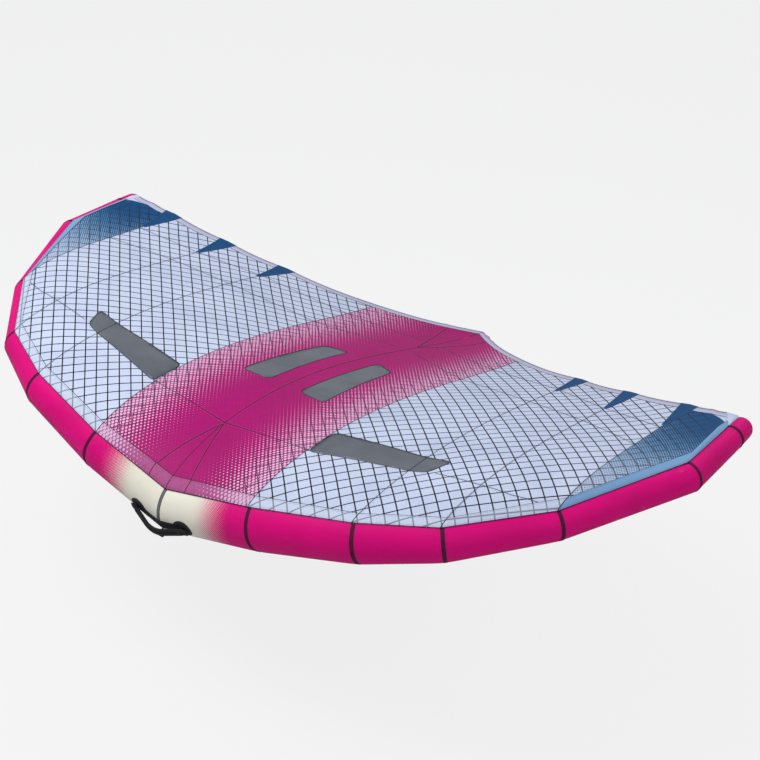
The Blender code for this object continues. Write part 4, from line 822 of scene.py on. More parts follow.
def thin_finishes(cloth, sewing):
    """Finishes of the doubler, the window film and the web."""
    def doubler(tree):
        x, y = axes(tree, "plan")
        place, _ = axes(tree, "rib")
        _, across = axes(tree, "wrap")
        far, out = calc(tree, "ABSOLUTE", place), calc(tree, "ABSOLUTE", x)
        dots = halftone(tree, out, y, sewing.dot_pitch, sewing.dot_row,
                        ramp(tree, far, 0.15, 1.0, 0.0, sewing.dot_pitch * 0.40))
        pink = tint(tree, calc(tree, "MULTIPLY", dots, 0.7), cloth.doubler_pink, cloth.dot_pink)
        colour = tint(tree, calc(tree, "GREATER_THAN", far, 1.0), pink, cloth.doubler_white)
        grid = calc(tree, "MULTIPLY", load_grid(tree, out, y, sewing), ramp(tree, far, 0.9, 1.0, 0.1, 0.6))
        # The doubler's grid takes the upper face's grid colour, with its painted sky light.
        colour = tint(tree, grid, colour, cloth.grid_painted_sky_light)
        colour = tint(tree, calc(tree, "GREATER_THAN", far, 4.0), colour, cloth.doubler_blue)
        rim = ramp(tree, calc(tree, "ABSOLUTE", across), 0.88, 0.93)
        return tint(tree, rim, colour, cloth.seam), cloth_relief(tree, x, y, 0.005, (rim, -0.0003))

    # Thin translucent ripstop laid over the print: a milky version of the colours beneath it
    finish("doubler", "translucent_polyester_ripstop_doubler", 0.52, doubler, **CLOTH_SHEEN)

    def film(tree):
        x, y = axes(tree, "plan")
        wave, fine = noise(tree, x, y, 6.0, 2.0), noise(tree, x, y, 160.0, 2.0)
        colour = tint(tree, ramp(tree, wave, 0.3, 0.7), cloth.window, cloth.window_worn)
        scrim = calc(tree, "MULTIPLY", weave(tree, x, y, 0.010), 0.22)
        colour = tint(tree, scrim, tint(tree, ramp(tree, fine, 0.45, 0.8, 0.0, 0.3), colour, cloth.window_worn),
                      cloth.seam)
        return colour, relief(tree, (wave, 0.009), (fine, 0.0001))

    # Film laminated over a grey scrim: smoother and glossier than the cloth, with slack ripples
    finish("film", "scrim_reinforced_polyester_film", 0.34, film, **{"IOR": 1.57, "Specular IOR Level": 0.3})

    def web(tree):
        x, y = axes(tree, "plan")
        creases = noise(tree, x, y, 12.0, 3.0, 0.3)
        return shaded(tree, x, y, cloth.web, cloth.web_worn, 0.8, 6.0), cloth_relief(tree, x, y, 0.005,
                                                                                     (creases, 0.0035))

    # Uncoated light ripstop in tension: matt, with creases that run from the strut to the canopy
    finish("web", "light_uncoated_polyester_ripstop", 0.65, web, **MATT_SHEEN)


def sleeve_finishes(cloth, sewing):
    """Finishes of the inflated sleeves and their seams."""
    def sleeve(tree):
        x, y = axes(tree, "wrap")
        colour = shaded(tree, x, y, cloth.sleeve, cloth.sleeve_worn)
        scuff = ramp(tree, noise(tree, x, y, 22.0, 5.0, 0.35), 0.66, 0.82, 0.0, 0.16)
        return tint(tree, scuff, colour, cloth.dot_pink), cloth_relief(tree, x, y, 0.004)

    # Tight plain-woven polyester, dyed and resin-pressed: saturated, satin, with a faint square grain
    finish("sleeve", "resin_pressed_magenta_woven_polyester", 0.56, sleeve, **MATT_SHEEN)

    def faded(tree):
        x, y = axes(tree, "wrap")
        far = calc(tree, "ABSOLUTE", y)
        base = shaded(tree, x, y, cloth.cream, cloth.cream_worn)
        size = put(tree, "ShaderNodeMapRange", {0: far, 1: sewing.fade_end, 2: sewing.fade_start, 3: 0.0,
                                                4: sewing.fine_dot * 0.53})
        dots = halftone(tree, x, y, sewing.fine_dot, sewing.fine_dot / 2, size)
        colour = tint(tree, dots, shaded(tree, x, y, cloth.sleeve, cloth.sleeve_worn), base)
        return colour, cloth_relief(tree, x, y, 0.004)

    # The same cloth undyed, printed with magenta ink: cream dots shrink away from the centre
    finish("faded", "screen_printed_cream_woven_polyester", 0.56, faded, **MATT_SHEEN)

    def tape(middle, edge):
        def work(tree):
            x, y = axes(tree, "wrap")
            rim = ramp(tree, calc(tree, "ABSOLUTE", y), 0.55, 0.72)
            ribs = stripes(tree, x, 0.003, 0.0012)
            return tint(tree, rim, middle, edge), relief(tree, (ribs, 0.0002), (rim, 0.0003))
        return work

    # Folded woven tape sewn over each seam: matt, ribbed, darker where thread fills its edges
    for key, name, middle, edge in (("tape", "dark_folded_woven_tape", cloth.tape, cloth.seam),
                                    ("tape_grey", "grey_folded_woven_tape", cloth.tape_grey, cloth.seam),
                                    ("seam", "dark_felled_woven_seam", cloth.seam, cloth.seam)):
        finish(key, name, 0.7, tape(middle, edge), **{"Specular IOR Level": 0.15})

    def thread(colour):
        def work(tree):
            where = tree.nodes.new("ShaderNodeTexCoord").outputs["Object"]
            ply = put(tree, "ShaderNodeTexNoise", {"Vector": where, "Scale": 900.0, "Detail": 2.0})
            return tint(tree, ply, colour, cloth.thread_worn), relief(tree, (ply, 0.0002))
        return work

    # Bonded twisted polyester thread: a slight gloss on each short stitch
    finish("thread", "dark_bonded_polyester_thread", 0.5, thread(cloth.thread))
    finish("thread_pale", "grey_bonded_polyester_thread", 0.5, thread(cloth.thread_pale))


def hard_finishes(cloth):
    """Finishes of the foam, webbing, plastic, film, carbon and steel pieces."""
    def grained(base, worn, scale, depth, kind="ShaderNodeTexNoise"):
        def work(tree):
            where = tree.nodes.new("ShaderNodeTexCoord").outputs["Object"]
            grain = put(tree, kind, {"Vector": where, "Scale": scale})
            cloud = put(tree, "ShaderNodeTexNoise", {"Vector": where, "Scale": 30.0, "Detail": 4.0})
            return tint(tree, ramp(tree, cloud, 0.35, 0.75), base, worn), relief(tree, (grain, depth))
        return work

    # Closed-cell foam, skived and glued: dull, with pores of about 1 mm
    finish("foam", "skived_closed_cell_eva_foam", 0.82,
           grained(cloth.black, cloth.black_worn, 700.0, 0.0004, "ShaderNodeTexVoronoi"),
           **{"Specular IOR Level": 0.3})
    # Injection-moulded glass-filled nylon: fine spark-eroded grain with a soft gloss
    finish("nylon", "injection_moulded_black_nylon", 0.46, grained(cloth.black, cloth.black_worn, 900.0, 0.0003))
    finish("nylon_grey", "injection_moulded_grey_nylon", 0.44,
           grained(cloth.moulding_grey, cloth.moulding_worn, 900.0, 0.0003))
    # Blown polyurethane film, welded at its edges: smooth, slightly cloudy and slippery
    finish("bladder", "blown_polyurethane_film", 0.28, grained(cloth.bladder, cloth.bladder_worn, 40.0, 0.0006),
           **{"IOR": 1.5})

    def webbing(tree):
        x, y = axes(tree, "wrap")
        ribs = calc(tree, "SINE", calc(tree, "MULTIPLY", x, 2 * math.pi / 0.0026))
        yarn = noise(tree, x, y, 420.0)
        colour = tint(tree, ramp(tree, yarn, 0.3, 0.8), cloth.black, cloth.black_worn)
        return tint(tree, ramp(tree, ribs, 0.0, 1.0, 0.0, 0.35), colour, cloth.black_worn), relief(
            tree, (ribs, 0.00035), (yarn, 0.0003))

    # Woven nylon webbing: ribs across the strap, with worn, lighter crowns
    finish("webbing", "woven_black_nylon_webbing", 0.74, webbing, **{"Specular IOR Level": 0.3})

    def carbon(tree):
        where = tree.nodes.new("ShaderNodeTexCoord").outputs["Object"]
        cells = put(tree, "ShaderNodeTexChecker", {"Vector": where, "Color1": rgba(cloth.black),
                                                   "Color2": rgba(cloth.black_worn), "Scale": 500.0})
        return cells, None

    # Wrapped twill prepreg under clear resin: two-tone tows below a gloss coat
    finish("carbon", "prepreg_twill_carbon", 0.36, carbon, **{"Coat Weight": 0.5})

    def turned(tree):
        where = tree.nodes.new("ShaderNodeTexCoord").outputs["Object"]
        grain = put(tree, "ShaderNodeTexNoise", {"Vector": where, "Scale": 1500.0, "Detail": 2.0})
        return tint(tree, grain, cloth.steel, cloth.steel_worn), relief(tree, (grain, 0.0001))

    # Turned stainless steel: bright, with fine tool marks
    finish("steel", "turned_stainless_steel", 0.3, turned, **{"Metallic": 1.0})


# Sewn leading edge

def mirrored(rows, side):
    """Rows as they are, or mirrored to the right."""
    return [[Vector((p.x * side, p.y, p.z)) for p in row] for row in rows]


def signed(values):
    """Places from the right tip to the left one."""
    return [-v for v in values[:0:-1]] + values


def round_le(place, lift, sides=LE_SIDES, sewing=None):
    """A ring round the leading edge at a signed place, puffed up where the sewing is given."""
    row = []
    for i in range(sides):
        degrees = 360.0 * i / sides
        puff = swell(sewing, abs(place), degrees) if sewing else 0.0
        row.append(on_side(le_point(abs(place), degrees, lift + puff), place))
    return row


def swell(sewing, place, degrees):
    """How far the inflated sleeve stands proud of its seams, with small puckers beside them."""
    first = min(int(place), TIP_SEAM)
    away = (place - first) * le_length(first)
    if first < TIP_SEAM:
        away = min(away, (first + 1 - place) * le_length(first))
    fade = math.exp(-away / sewing.seam_pull)
    angle = math.radians(degrees)
    wave = math.sin(19 * angle + 2.1 * first) + 0.6 * math.sin(31 * angle + 1.3 * first)
    return sewing.puff * (1 - fade) + sewing.pucker * wave * fade * (1 - fade) * 2.5


def panel_places(index):
    """Places along a panel, closer together near its seams."""
    length = le_length(index)
    near = [0.0003, 0.004, 0.009, 0.015, 0.023, 0.033, 0.046, 0.064]
    near = near if length > 0.13 else near[:5]
    far = [length - n for n in near[::-1]]
    inner = steps(near[-1], far[0], 8)[1:-1] if length > 0.13 else [length / 2]
    return [index + n / length for n in near + inner + far]


def wrap_uv(places, sides, side):
    """UV in metres: round the tube, and out from the centre along it."""
    rows = []
    for place in places:
        first = min(int(place), len(STATIONS) - 2)
        run = sum(le_length(i) for i in range(first)) + (place - first) * le_length(first)
        radius = mix(STATIONS[first][1], STATIONS[first + 1][1], place - first)
        rows.append([(2 * math.pi * radius * i / sides, run * side) for i in range(sides)])
    return rows


def build_leading_edge(sewing):
    """Twelve sleeve panels and two tip caps of puffed, slightly puckered cloth."""
    sides = LE_SIDES
    for side, hand in SIDES:
        for index in range(TIP_SEAM):
            places = panel_places(index)
            grids = [mirrored([round_le(p, lift, sides, sewing) for p in places], side) for lift in (0.0, -SKIN)]
            made = slab(f"leading_edge_sleeve_{index + 1}_{hand}", *grids, ["sleeve" if index else "faded"],
                        {"wrap": wrap_uv(places, sides, side)}, (f"le_panel_{index + 1}_{hand}",), wrap=True)
            if index == 0 and side == 1:
                turn = VALVE_AXIS.to_track_quat("Z", "Y").to_matrix().to_4x4()
                ring = [(VALVE_HOLE_RADIUS * math.cos(a), VALVE_HOLE_RADIUS * math.sin(a))
                        for a in (2 * math.pi * i / 48 for i in range(48))]
                cut(made, [ring], low=-0.03, high=0.03, place=Matrix.Translation(VALVE_SURFACE) @ turn)
        build_tip_cap(sewing, side, hand, sides)


def build_tip_cap(sewing, side, hand, sides):
    """A rounded tip that closes the leading edge."""
    places = [TIP_SEAM + s for s in (0.0035, 0.05, 0.11, 0.19, 0.30, 0.45, 0.65, 0.85, 1.0)]
    shoulder, along = STATIONS[-1][0], LE_FRAMES[-1][0]
    grids = []
    for lift in (0.0, -SKIN):
        rows = [round_le(p, lift, sides, sewing) for p in places]
        base = rows[-1]
        dome = TIP_CAP_LENGTH * (1 - CAP_SHOULDER_SHARE) + lift
        for turn in (15, 30, 44, 56, 66, 75, 83, 88.5, 89.97):
            ahead, width = math.sin(math.radians(turn)), math.cos(math.radians(turn)) ** 0.95
            rows.append([shoulder + along * (dome * ahead) + (p - shoulder) * width for p in base])
        grids.append(mirrored(rows, side))
    uv = wrap_uv(places + [TIP_SEAM + 1.0 + 0.05 * i for i in range(9)], sides, side)
    made = slab(f"leading_edge_tip_{hand}", *grids, ["sleeve"], {"wrap": uv}, (f"le_tip_cap_{hand}",), wrap=True)


def tape_span(index, sewing):
    """Signed places of the edges of a seam's tape: centred on the middle seam, outside the others."""
    half = sewing.tape_width / 2 / le_length(min(index, len(STATIONS) - 2))
    return (-half, half) if index == 0 else (float(index), index + 2 * half)


def add_closing_seam(bag, sewing):
    """The narrow tape that runs from tip to tip along the underside of the tube."""
    places = [index + s for index in range(TIP_SEAM) for s in steps(0.0, 1.0, 12)[:-1]] + [float(TIP_SEAM)]
    across = (-1.0, -0.4, 0.4, 1.0)
    turns = [CLOSING_SEAM_DEGREES + math.degrees(sewing.closing_width / 2 * j / LE_RADIUS) for j in across]
    grids, uv, run = [[], []], [], 0.0
    for place in signed(places):
        far = abs(place)
        for grid, wall in zip(grids, (TAPE_WALL, 0.0)):
            grid.append([on_side(le_point(far, degrees, GAP + 0.0004 + wall + max(swell(sewing, far, degrees), 0.0)),
                                 place) for degrees in turns])
        run += (grids[0][-1][0] - grids[0][-2][0]).length if len(grids[0]) > 1 else 0.0
        uv.append([(run, j) for j in across])
    add_slab(bag, *grids, {"wrap": uv}, slots=(2, 2))


def build_seam_tapes(sewing):
    """A tape over each leading-edge seam, and a narrow one along the closing seam underneath."""
    bag, runs = new_bag(), []
    for side, _ in SIDES:
        for index in range(0 if side == 1 else 1, TIP_SEAM + 1):
            start, end = tape_span(index, sewing)
            spots = steps(start, end, 6)
            girth = 2 * math.pi * STATIONS[index][1]
            grids = [mirrored([round_le(p, GAP + 0.0002 + wall, LE_SIDES, sewing) for p in spots], side)
                     for wall in (TAPE_WALL, 0.0)]
            uv = [[(girth * i / LE_SIDES, k) for i in range(LE_SIDES)] for k in steps(-1.0, 1.0, 6)]
            add_slab(bag, *grids, {"wrap": uv}, wrap=True, slots=(1, 1) if index == 0 else (0, 0))
            for share in (0.14, 0.86):
                ring = round_le(mix(start, end, share), GAP + TAPE_TOP, LE_SIDES, sewing)
                runs += mirrored([ring + ring[:1]], side)
    add_closing_seam(bag, sewing)
    piece("leading_edge_tapes", bag, ["tape", "tape_grey", "seam"], ("le_seam_tapes",))
    sew("leading_edge_tape_stitches", runs, "thread", sewing)


def build_bladders():
    """The air bladders inside the sleeves."""
    places = steps(0.0, float(TIP_SEAM), 36) + [TIP_SEAM + s for s in (0.3, 0.7, 1.0)]
    bag = new_bag()
    add_loft(bag, [round_le(p, BLADDER_INSET, 48) for p in signed(places)], {})
    piece("leading_edge_bladder", bag, ["bladder"], ("le_bladder",))
    bag = new_bag()
    add_loft(bag, [strut_ring(share, BLADDER_INSET, 0.0, 48) for share in steps(0.10, 0.955, 48)], {})
    piece("strut_air_bladder", bag, ["bladder"], ("strut_bladder",))


# Canopy

def rib_steps():
    """Shares along a rib for the smooth cloth: fine at the nose, even aft."""
    return [0.0, 0.004, 0.010, 0.018] + [mix(0.018, 1.0, (i / 64) ** 1.15) for i in range(1, 65)]


def cloth_columns(start, end, per_seam):
    """Places from one seam to another."""
    return steps(start, end, round((end - start) * per_seam))


def cloth_grid(places, shares, lift):
    """A grid of points on the cloth."""
    return [[canopy_point(place, share, lift) for share in shares] for place in places]


def cloth_uvs(places, shares):
    """UV maps: plan position in metres, and seam place with rib share."""
    plan = [[(p.x, p.y) for p in (canopy_point(place, share) for share in shares)] for place in places]
    return {"plan": plan, "rib": [[(place, share) for share in shares] for place in places]}


def canopy_tree():
    """The middle of the cloth as a search tree, for what is placed by plan position."""
    places, shares = steps(-6.99, 6.99, 200), steps(0.0, 1.0, 90)
    width = len(shares)
    faces = [(r * width + c, r * width + c + 1, (r + 1) * width + c + 1, (r + 1) * width + c)
             for r in range(len(places) - 1) for c in range(width - 1)]
    return BVHTree.FromPolygons([p for row in cloth_grid(places, shares, 0.0) for p in row], faces)


CLOTH = canopy_tree()


def on_cloth(x, y):
    """Point and upward normal of the cloth at a plan position."""
    hit, normal, _, _ = CLOTH.ray_cast(Vector((x, y, 3.0)), Vector((0.0, 0.0, -1.0)))
    if hit is None:
        hit, normal, _, _ = CLOTH.find_nearest(Vector((x, y, 0.4)))
    return hit, (normal if normal.z > 0 else -normal)


def plan_path(corners, gap=0.02):
    """Points and normals of the cloth along straight plan lines."""
    made = []
    for a, b in zip(corners, corners[1:]):
        count = max(round(math.dist(a, b) / gap), 1)
        made += [on_cloth(mix(a[0], b[0], s), mix(a[1], b[1], s)) for s in steps(0.0, 1.0, count)[bool(made):]]
    return made


def rib_path(place, start, end, count=90):
    """Points and normals of the cloth along one rib."""
    made = []
    for share in steps(start, end, count):
        point = canopy_point(place, share)
        made.append((point, (canopy_point(place, share, 0.01) - point).normalized()))
    return made


def lifted(path, height, shift=0.0):
    """Points moved off the cloth, and sideways along it."""
    made = []
    for i, (point, normal) in enumerate(path):
        along = path[min(i + 1, len(path) - 1)][0] - path[max(i - 1, 0)][0]
        made.append(point + normal * height + normal.cross(along).normalized() * shift)
    return made


def plan_corners(shares, side):
    """Window corners in plan."""
    aft = attach_point(0.0).y
    return [(out * HALF_SPAN * side, aft + back * CANOPY_CHORD) for out, back in shares]


def rounded(corners, radius, count=8):
    """An outline with eased corners."""
    made = []
    for i in range(len(corners)):
        corner = Vector(corners[i])
        before = corner + (Vector(corners[i - 1]) - corner).normalized() * radius
        after = corner + (Vector(corners[(i + 1) % len(corners)]) - corner).normalized() * radius
        made += [mix(mix(before, corner, s), mix(corner, after, s), s) for s in steps(0.0, 1.0, count)]
    return [(p.x, p.y) for p in made]


def grown(corners, distance):
    """A convex outline with every side moved out."""
    count = len(corners)
    middle = sum((Vector(c) for c in corners), Vector((0.0, 0.0))) / count
    lines = []
    for i in range(count):
        a, b = Vector(corners[i]), Vector(corners[(i + 1) % count])
        along = (b - a).normalized()
        out = Vector((along.y, -along.x))
        lines.append((a + (out if out.dot(a - middle) > 0 else -out) * distance, along))
    made = []
    for i in range(count):
        point, along = lines[i - 1]
        other, direction = lines[i]
        cross = along.x * direction.y - along.y * direction.x
        offset = other - point
        made.append(tuple(point + along * ((offset.x * direction.y - offset.y * direction.x) / cross)))
    return made


def dart_corners(row, side):
    """Plan corners of a trailing-edge dart: its blunt tip on the seam, its base past the edge."""
    rear, front = te_point(float(row)), attach_point(float(row))
    along = Vector((front.x - rear.x, front.y - rear.y)).normalized()
    before, after = te_point(row - 1 / 3), te_point(row + 1 / 3)
    across = Vector((after.x - before.x, after.y - before.y)).normalized()
    rear = Vector((rear.x, rear.y))
    tip = rear + along * DART_LENGTH
    made = []
    for hand in (-1, 1):
        end, base = tip + across * (hand * DART_TIP_WIDTH / 2), rear + across * (hand * DART_WIDTH / 2)
        edge = [end + (base - end) * (DART_LENGTH + 0.03) / DART_LENGTH, end]
        made += edge if hand < 0 else edge[::-1]
    return [(p.x * side, p.y) for p in made]


def windows(side):
    """Window names with their plan corners and the seams they lie between."""
    return (("side", plan_corners(SIDE_WINDOW_SHARES, side), (1.0, 3.0)),
            ("centre", plan_corners(CENTRE_WINDOW_SHARES, side), (0.0, 1.0)))


def build_canopy():
    """The whole canopy as one curved sheet from tip to tip, open where windows and darts lie."""
    places = signed(cloth_columns(0.0, 4.0, 12) + cloth_columns(4.0, 7.0, 8)[1:])
    shares = rib_steps()
    slots = [0 if abs(a + b) / 2 < 1 else 1 if abs(a + b) / 2 < 4 else 2 for a, b in zip(places, places[1:])]
    names = [f"canopy_{part}_{hand}" for part in ("centre", "inner", "middle", "outer", "tip")
             for hand in ("left", "right")]
    made = slab("canopy_cloth", cloth_grid(places, shares, SKIN / 2), cloth_grid(places, shares, -SKIN / 2),
                [face + kind for face in ("canopy_", "under_") for kind in ("centre", "white", "tip")],
                cloth_uvs(places, shares), names, slots=(0, 3), row_slots=slots)
    outlines = []
    for side in (1, -1):
        outlines += [rounded(grown(corners, GAP), WINDOW_CORNER) for _, corners, _ in windows(side)]
        outlines += [grown(dart_corners(row, side), GAP) for row in DART_ROWS]
    cut(made, outlines)


def build_windows(sewing):
    """Four film windows set into the cloth, each with a dark bound edge."""
    borders, runs = new_bag(), []
    for side, hand in SIDES:
        for name, corners, (start, end) in windows(side):
            places = [p * side for p in cloth_columns(start, end, 10)]
            shares = [s for s in rib_steps() if s < 0.75]
            made = slab(f"window_{name}_{hand}", cloth_grid(places, shares, FILM_HALF_WALL),
                        cloth_grid(places, shares, -FILM_HALF_WALL), ["film"], cloth_uvs(places, shares),
                        (f"canopy_window_{name}_{hand}",))
            cut(made, [rounded(grown(corners, -GAP), WINDOW_CORNER)], keep=True)
            edge = rounded(corners, WINDOW_CORNER)
            path = plan_path(edge + edge[:1])
            add_ribbon(borders, path, sewing.border_width, 0.0022)
            runs += [lifted(path, 0.0007, s * sewing.border_width * 1.7) for s in (-1, 1)]
    piece("window_borders", borders, ["seam"])
    sew("window_stitches", runs, "thread_pale", sewing)


def build_canopy_seams(sewing):
    """Felled seams between the cloths: along the ribs, across them, and round the nose and tail patches."""
    bag, runs = new_bag(), []
    paths = [rib_path(0.0, 0.01, 0.985)]
    for side in (1, -1):
        for place in range(1, 5):
            front = 0.4 * DOUBLER_WIDTH / chord_at(place)
            rear = (DART_LENGTH + 0.004 if place in DART_ROWS else HEM_WIDTH) / chord_at(place)
            paths.append(rib_path(float(place * side), front, 1 - rear))
        paths += [plan_path([(x * side, y) for x, y in line]) for line in SEAM_LINES]
    for path in paths:
        add_ribbon(bag, path, sewing.seam_width, 0.0018)
        runs += [lifted(path, 0.0006, s * sewing.seam_width * 1.9) for s in (-1, 1)]
    for place in signed([0.0, NOSE_SEAM_PLACE, 1.0, 2.0, 3.0, 4.0, 5.0]):
        # The seams carry on over the doubler
        edge = doubler_width(place) / chord_at(place)
        path = [(canopy_point(place, share, 0.0021), normal)
                for share, (_, normal) in zip(steps(0.0, edge, 5), rib_path(place, 0.0, edge, 5))]
        add_ribbon(bag, path, sewing.seam_width, 0.0006)
    piece("canopy_seams", bag, ["seam"])
    half = len(runs) // 2
    sew("canopy_stitches_1", runs[:half], "thread_pale", sewing)
    sew("canopy_stitches_2", runs[half:], "thread_pale", sewing)


def trailing_rows(places, shares, lift_at):
    """Upper and lower grids that follow the cloth and meet just past the trailing edge."""
    grids, uv = [[], []], {"plan": [], "rib": [], "wrap": []}
    for place in places:
        edge, chord = te_point(abs(place)), chord_at(place)
        tip = Vector((math.copysign(edge.x, place), edge.y + EDGE_OVERHANG, edge.z))
        for grid, sign in zip(grids, (1, -1)):
            grid.append([canopy_point(place, s, sign * lift_at((1 - s) * chord)) for s in shares]
                        + [tip + UP * sign * 0.0002])
        values = cloth_uvs([place], shares)
        uv["plan"].append(values["plan"][0] + [(tip.x, tip.y)])
        uv["rib"].append(values["rib"][0] + [(place, 1.0)])
        uv["wrap"].append([(place, (1 - s) * chord) for s in shares] + [(place, 0.0)])
    return grids, uv


def build_darts(sewing):
    """Six blue wedges where the seams meet the trailing edge, and two pale corner patches at the tips."""
    runs = []
    for side, hand in SIDES:
        for row in DART_ROWS:
            places = [p * side for p in steps(row - 0.6, row + 0.6, 24)]
            shares = [s for s in rib_steps() if s > 0.6]
            (top, bottom), uv = trailing_rows(places, shares, dart_lift)
            made = slab(f"trailing_edge_wedge_{row}_{hand}", top, bottom, ["dart"], uv, (f"te_dart_{row}_{hand}",))
            corners = dart_corners(row, side)
            cut(made, [grown(corners, -GAP)], keep=True)
            ends = [mix(Vector(corners[1]), Vector(corners[0]), 0.86), *map(Vector, corners[1:3]),
                    mix(Vector(corners[2]), Vector(corners[3]), 0.86)]
            runs.append(lifted(plan_path([tuple(p) for p in ends], 0.006), 0.0022, 0.004 * side))
        corners = [(x * side, y) for x, y in TIP_PATCH]
        places = [p * side for p in steps(4.6, 6.96, 30)]
        shares = rib_steps()
        top, bottom = (cloth_grid(places, shares, lift) for lift in (PATCH_HALF_WALL, -PATCH_HALF_WALL))
        uv = cloth_uvs(places, shares)
        uv["wrap"] = [[(1.0, 1.0)] * len(shares)] * len(places)
        made = slab(f"tip_corner_patch_{hand}", top, bottom, ["patch"], uv)
        cut(made, [corners], keep=True)
    sew("trailing_edge_wedge_stitches", runs, "thread_pale", sewing)


def dart_lift(away):
    """Half thickness of a dart, a little more where it closes the hem."""
    reach = HEM_WIDTH + DART_HEM_OVERLAP
    return PATCH_HALF_WALL if away > reach else mix(0.0023, PATCH_HALF_WALL, min(away / reach, 1.0) ** 3)


def doubler_width(place):
    """Width of the doubler at a rib place; it spreads towards the tips."""
    return DOUBLER_WIDTH * mix(1.0, DOUBLER_SPREAD, ramp_value(abs(place), 3.0, 4.5))


def build_trims(sewing):
    """The doubler along the front of the canopy and the folded hem along its rear."""
    runs = []
    for side, hand in SIDES:
        places = [max(p, 0.004) * side for p in cloth_columns(0.0, 6.0, 12)]
        grids, uv = [[], []], {"plan": [], "rib": [], "wrap": []}
        for place in places:
            front = min(doubler_width(place) / chord_at(place), STRIP_LIMIT_SHARE)
            shares = [front * s for s in (0.0, 0.25, 0.5, 0.75, 0.97, 1.0)]
            lift = SKIN + GAP * 2 + CLOTH_EASE * max(0.0, abs(place) - 4.0)
            for grid, wall in zip(grids, (0.0003, -0.0003)):
                grid.append([canopy_point(place, s, lift + wall) for s in shares])
            values = cloth_uvs([place], shares)
            for layer in ("plan", "rib"):
                uv[layer] += values[layer]
            uv["wrap"].append([(place, 2 * s / front - 1) for s in shares])
        made = slab(f"front_doubler_{hand}", *grids, ["doubler"], uv, (f"canopy_doubler_{hand}",))
        runs += [[canopy_point(p, doubler_width(p) * s / chord_at(p), SKIN + GAP * 2 + 0.0007) for p in places]
                 for s in (0.12, 0.82)]
        runs += build_hem(side, hand)
    sew("canopy_edge_stitches", runs, "thread", sewing)


def build_hem(side, hand):
    """A hem folded round the rear edge of the cloth, with a cord in its edge; returns its sewing lines."""
    places = [max(p, 0.004) * side for p in cloth_columns(0.0, 6.0, 24)]
    rows, uv = [], {"plan": [], "wrap": []}
    spots = (1.0, 0.98, 0.65, 0.30, 0.22, 0.14, 0.07, 0.0)
    bulge = (0.0000, 0.0004, 0.0004, 0.0004, 0.0001, 0.0008, 0.0011, 0.0006)
    run = 0.0
    for i, place in enumerate(places):
        edge = te_point(abs(place))
        width = min(HEM_WIDTH, STRIP_LIMIT_SHARE * chord_at(place))
        shares = [1 - width * s / chord_at(place) for s in spots]
        tip = Vector((math.copysign(edge.x, place), edge.y + EDGE_OVERHANG, edge.z))
        ring, across = [], []
        for lift, sign, way in ((0.0010, 1, 1), (0.0010, -1, -1), (0.0007, -1, 1), (0.0007, 1, -1)):
            inside = lift < 0.0010
            line = [(canopy_point(place, s, sign * (lift + (0.0 if inside else b))), width * spot * sign)
                    for s, b, spot in zip(shares, bulge, spots)]
            line = line[:-1] if inside else line
            ring += [p for p, _ in line[::way]]
            across += [a for _, a in line[::way]]
            if lift == 0.0010 and sign == 1:
                ring.append(tip)
                across.append(0.0)
        rows.append(ring)
        run += (ring[0] - rows[-2][0]).length if i else 0.0
        uv["plan"].append([(p.x, p.y) for p in ring])
        uv["wrap"].append([(run, a) for a in across])
    bag = new_bag()
    add_loft(bag, rows, uv)
    made = piece(f"folded_hem_{hand}", bag, ["hem"], (f"te_hem_{hand}",))
    cut(made, [grown(dart_corners(row, side), GAP) for row in DART_ROWS])
    return [[canopy_point(p, 1 - HEM_WIDTH * s / chord_at(p), sign * 0.0017) for p in places]
            for s in (0.88, 0.42) for sign in (1, -1)]


# Strut

def strut_ring(share, lift=0.0, lean=0.0, sides=STRUT_SIDES):
    """A ring round the strut; a leaning ring's underside lies further forward."""
    ring = []
    for i in range(sides):
        angle = 2 * math.pi * i / sides
        here = share + lean * math.cos(angle) / STRUT_LENGTH
        height, radius = strut_section(here)
        radius += lift
        ring.append(Vector((radius * math.sin(angle), strut_aft(here), height + radius * math.cos(angle))))
    return ring


def strut_sleeve_rows(index, bounds, spots, lift, sewing):
    """Rings of one strut sleeve, puffed between its seams; the last sleeve is closed by a rounded end."""
    start, end = bounds[index], bounds[index + 1]
    rows = []
    for share in spots:
        lean = mix(STRUT_LEANS[index], STRUT_LEANS[index + 1], (share - start) / (end - start))
        away = min(share - start if index else 1.0, end - share if index < 3 else 1.0) * STRUT_LENGTH
        puff = sewing.puff * (1 - math.exp(-away / sewing.seam_pull))
        low = sewing.puff * 0.7 if share > 0.64 else 0.0
        rows.append(strut_ring(share, lift + puff - low, lean))
    if index == 3:
        middle, base = sum(rows[-1], Vector()) / STRUT_SIDES, rows[-1]
        for ahead, width in STRUT_END:
            tip = Vector((0.0, (strut_aft(1.0) - middle.y + lift) * ahead, -0.0015 * ahead))
            rows.append([middle + (p - middle) * width + tip for p in base])
    if index == 0:
        middle = sum(rows[0], Vector()) / STRUT_SIDES
        rows[0] = [middle + (p - middle) * 0.9 for p in rows[0]]
    return rows


def cut_to_tube(made):
    """Cut the strut's nose to the leading edge that it meets."""
    bag = new_bag()
    add_loft(bag, [round_le(p, TAPE_TOP + GAP + 0.0004, 96) for p in signed(steps(0.0, 0.8, 16))], {})
    mesh = bpy.data.meshes.new("leading_edge_cutter")
    mesh.from_pydata([tuple(p) for p in bag["points"]], [], bag["faces"])
    subtract(made, mesh)


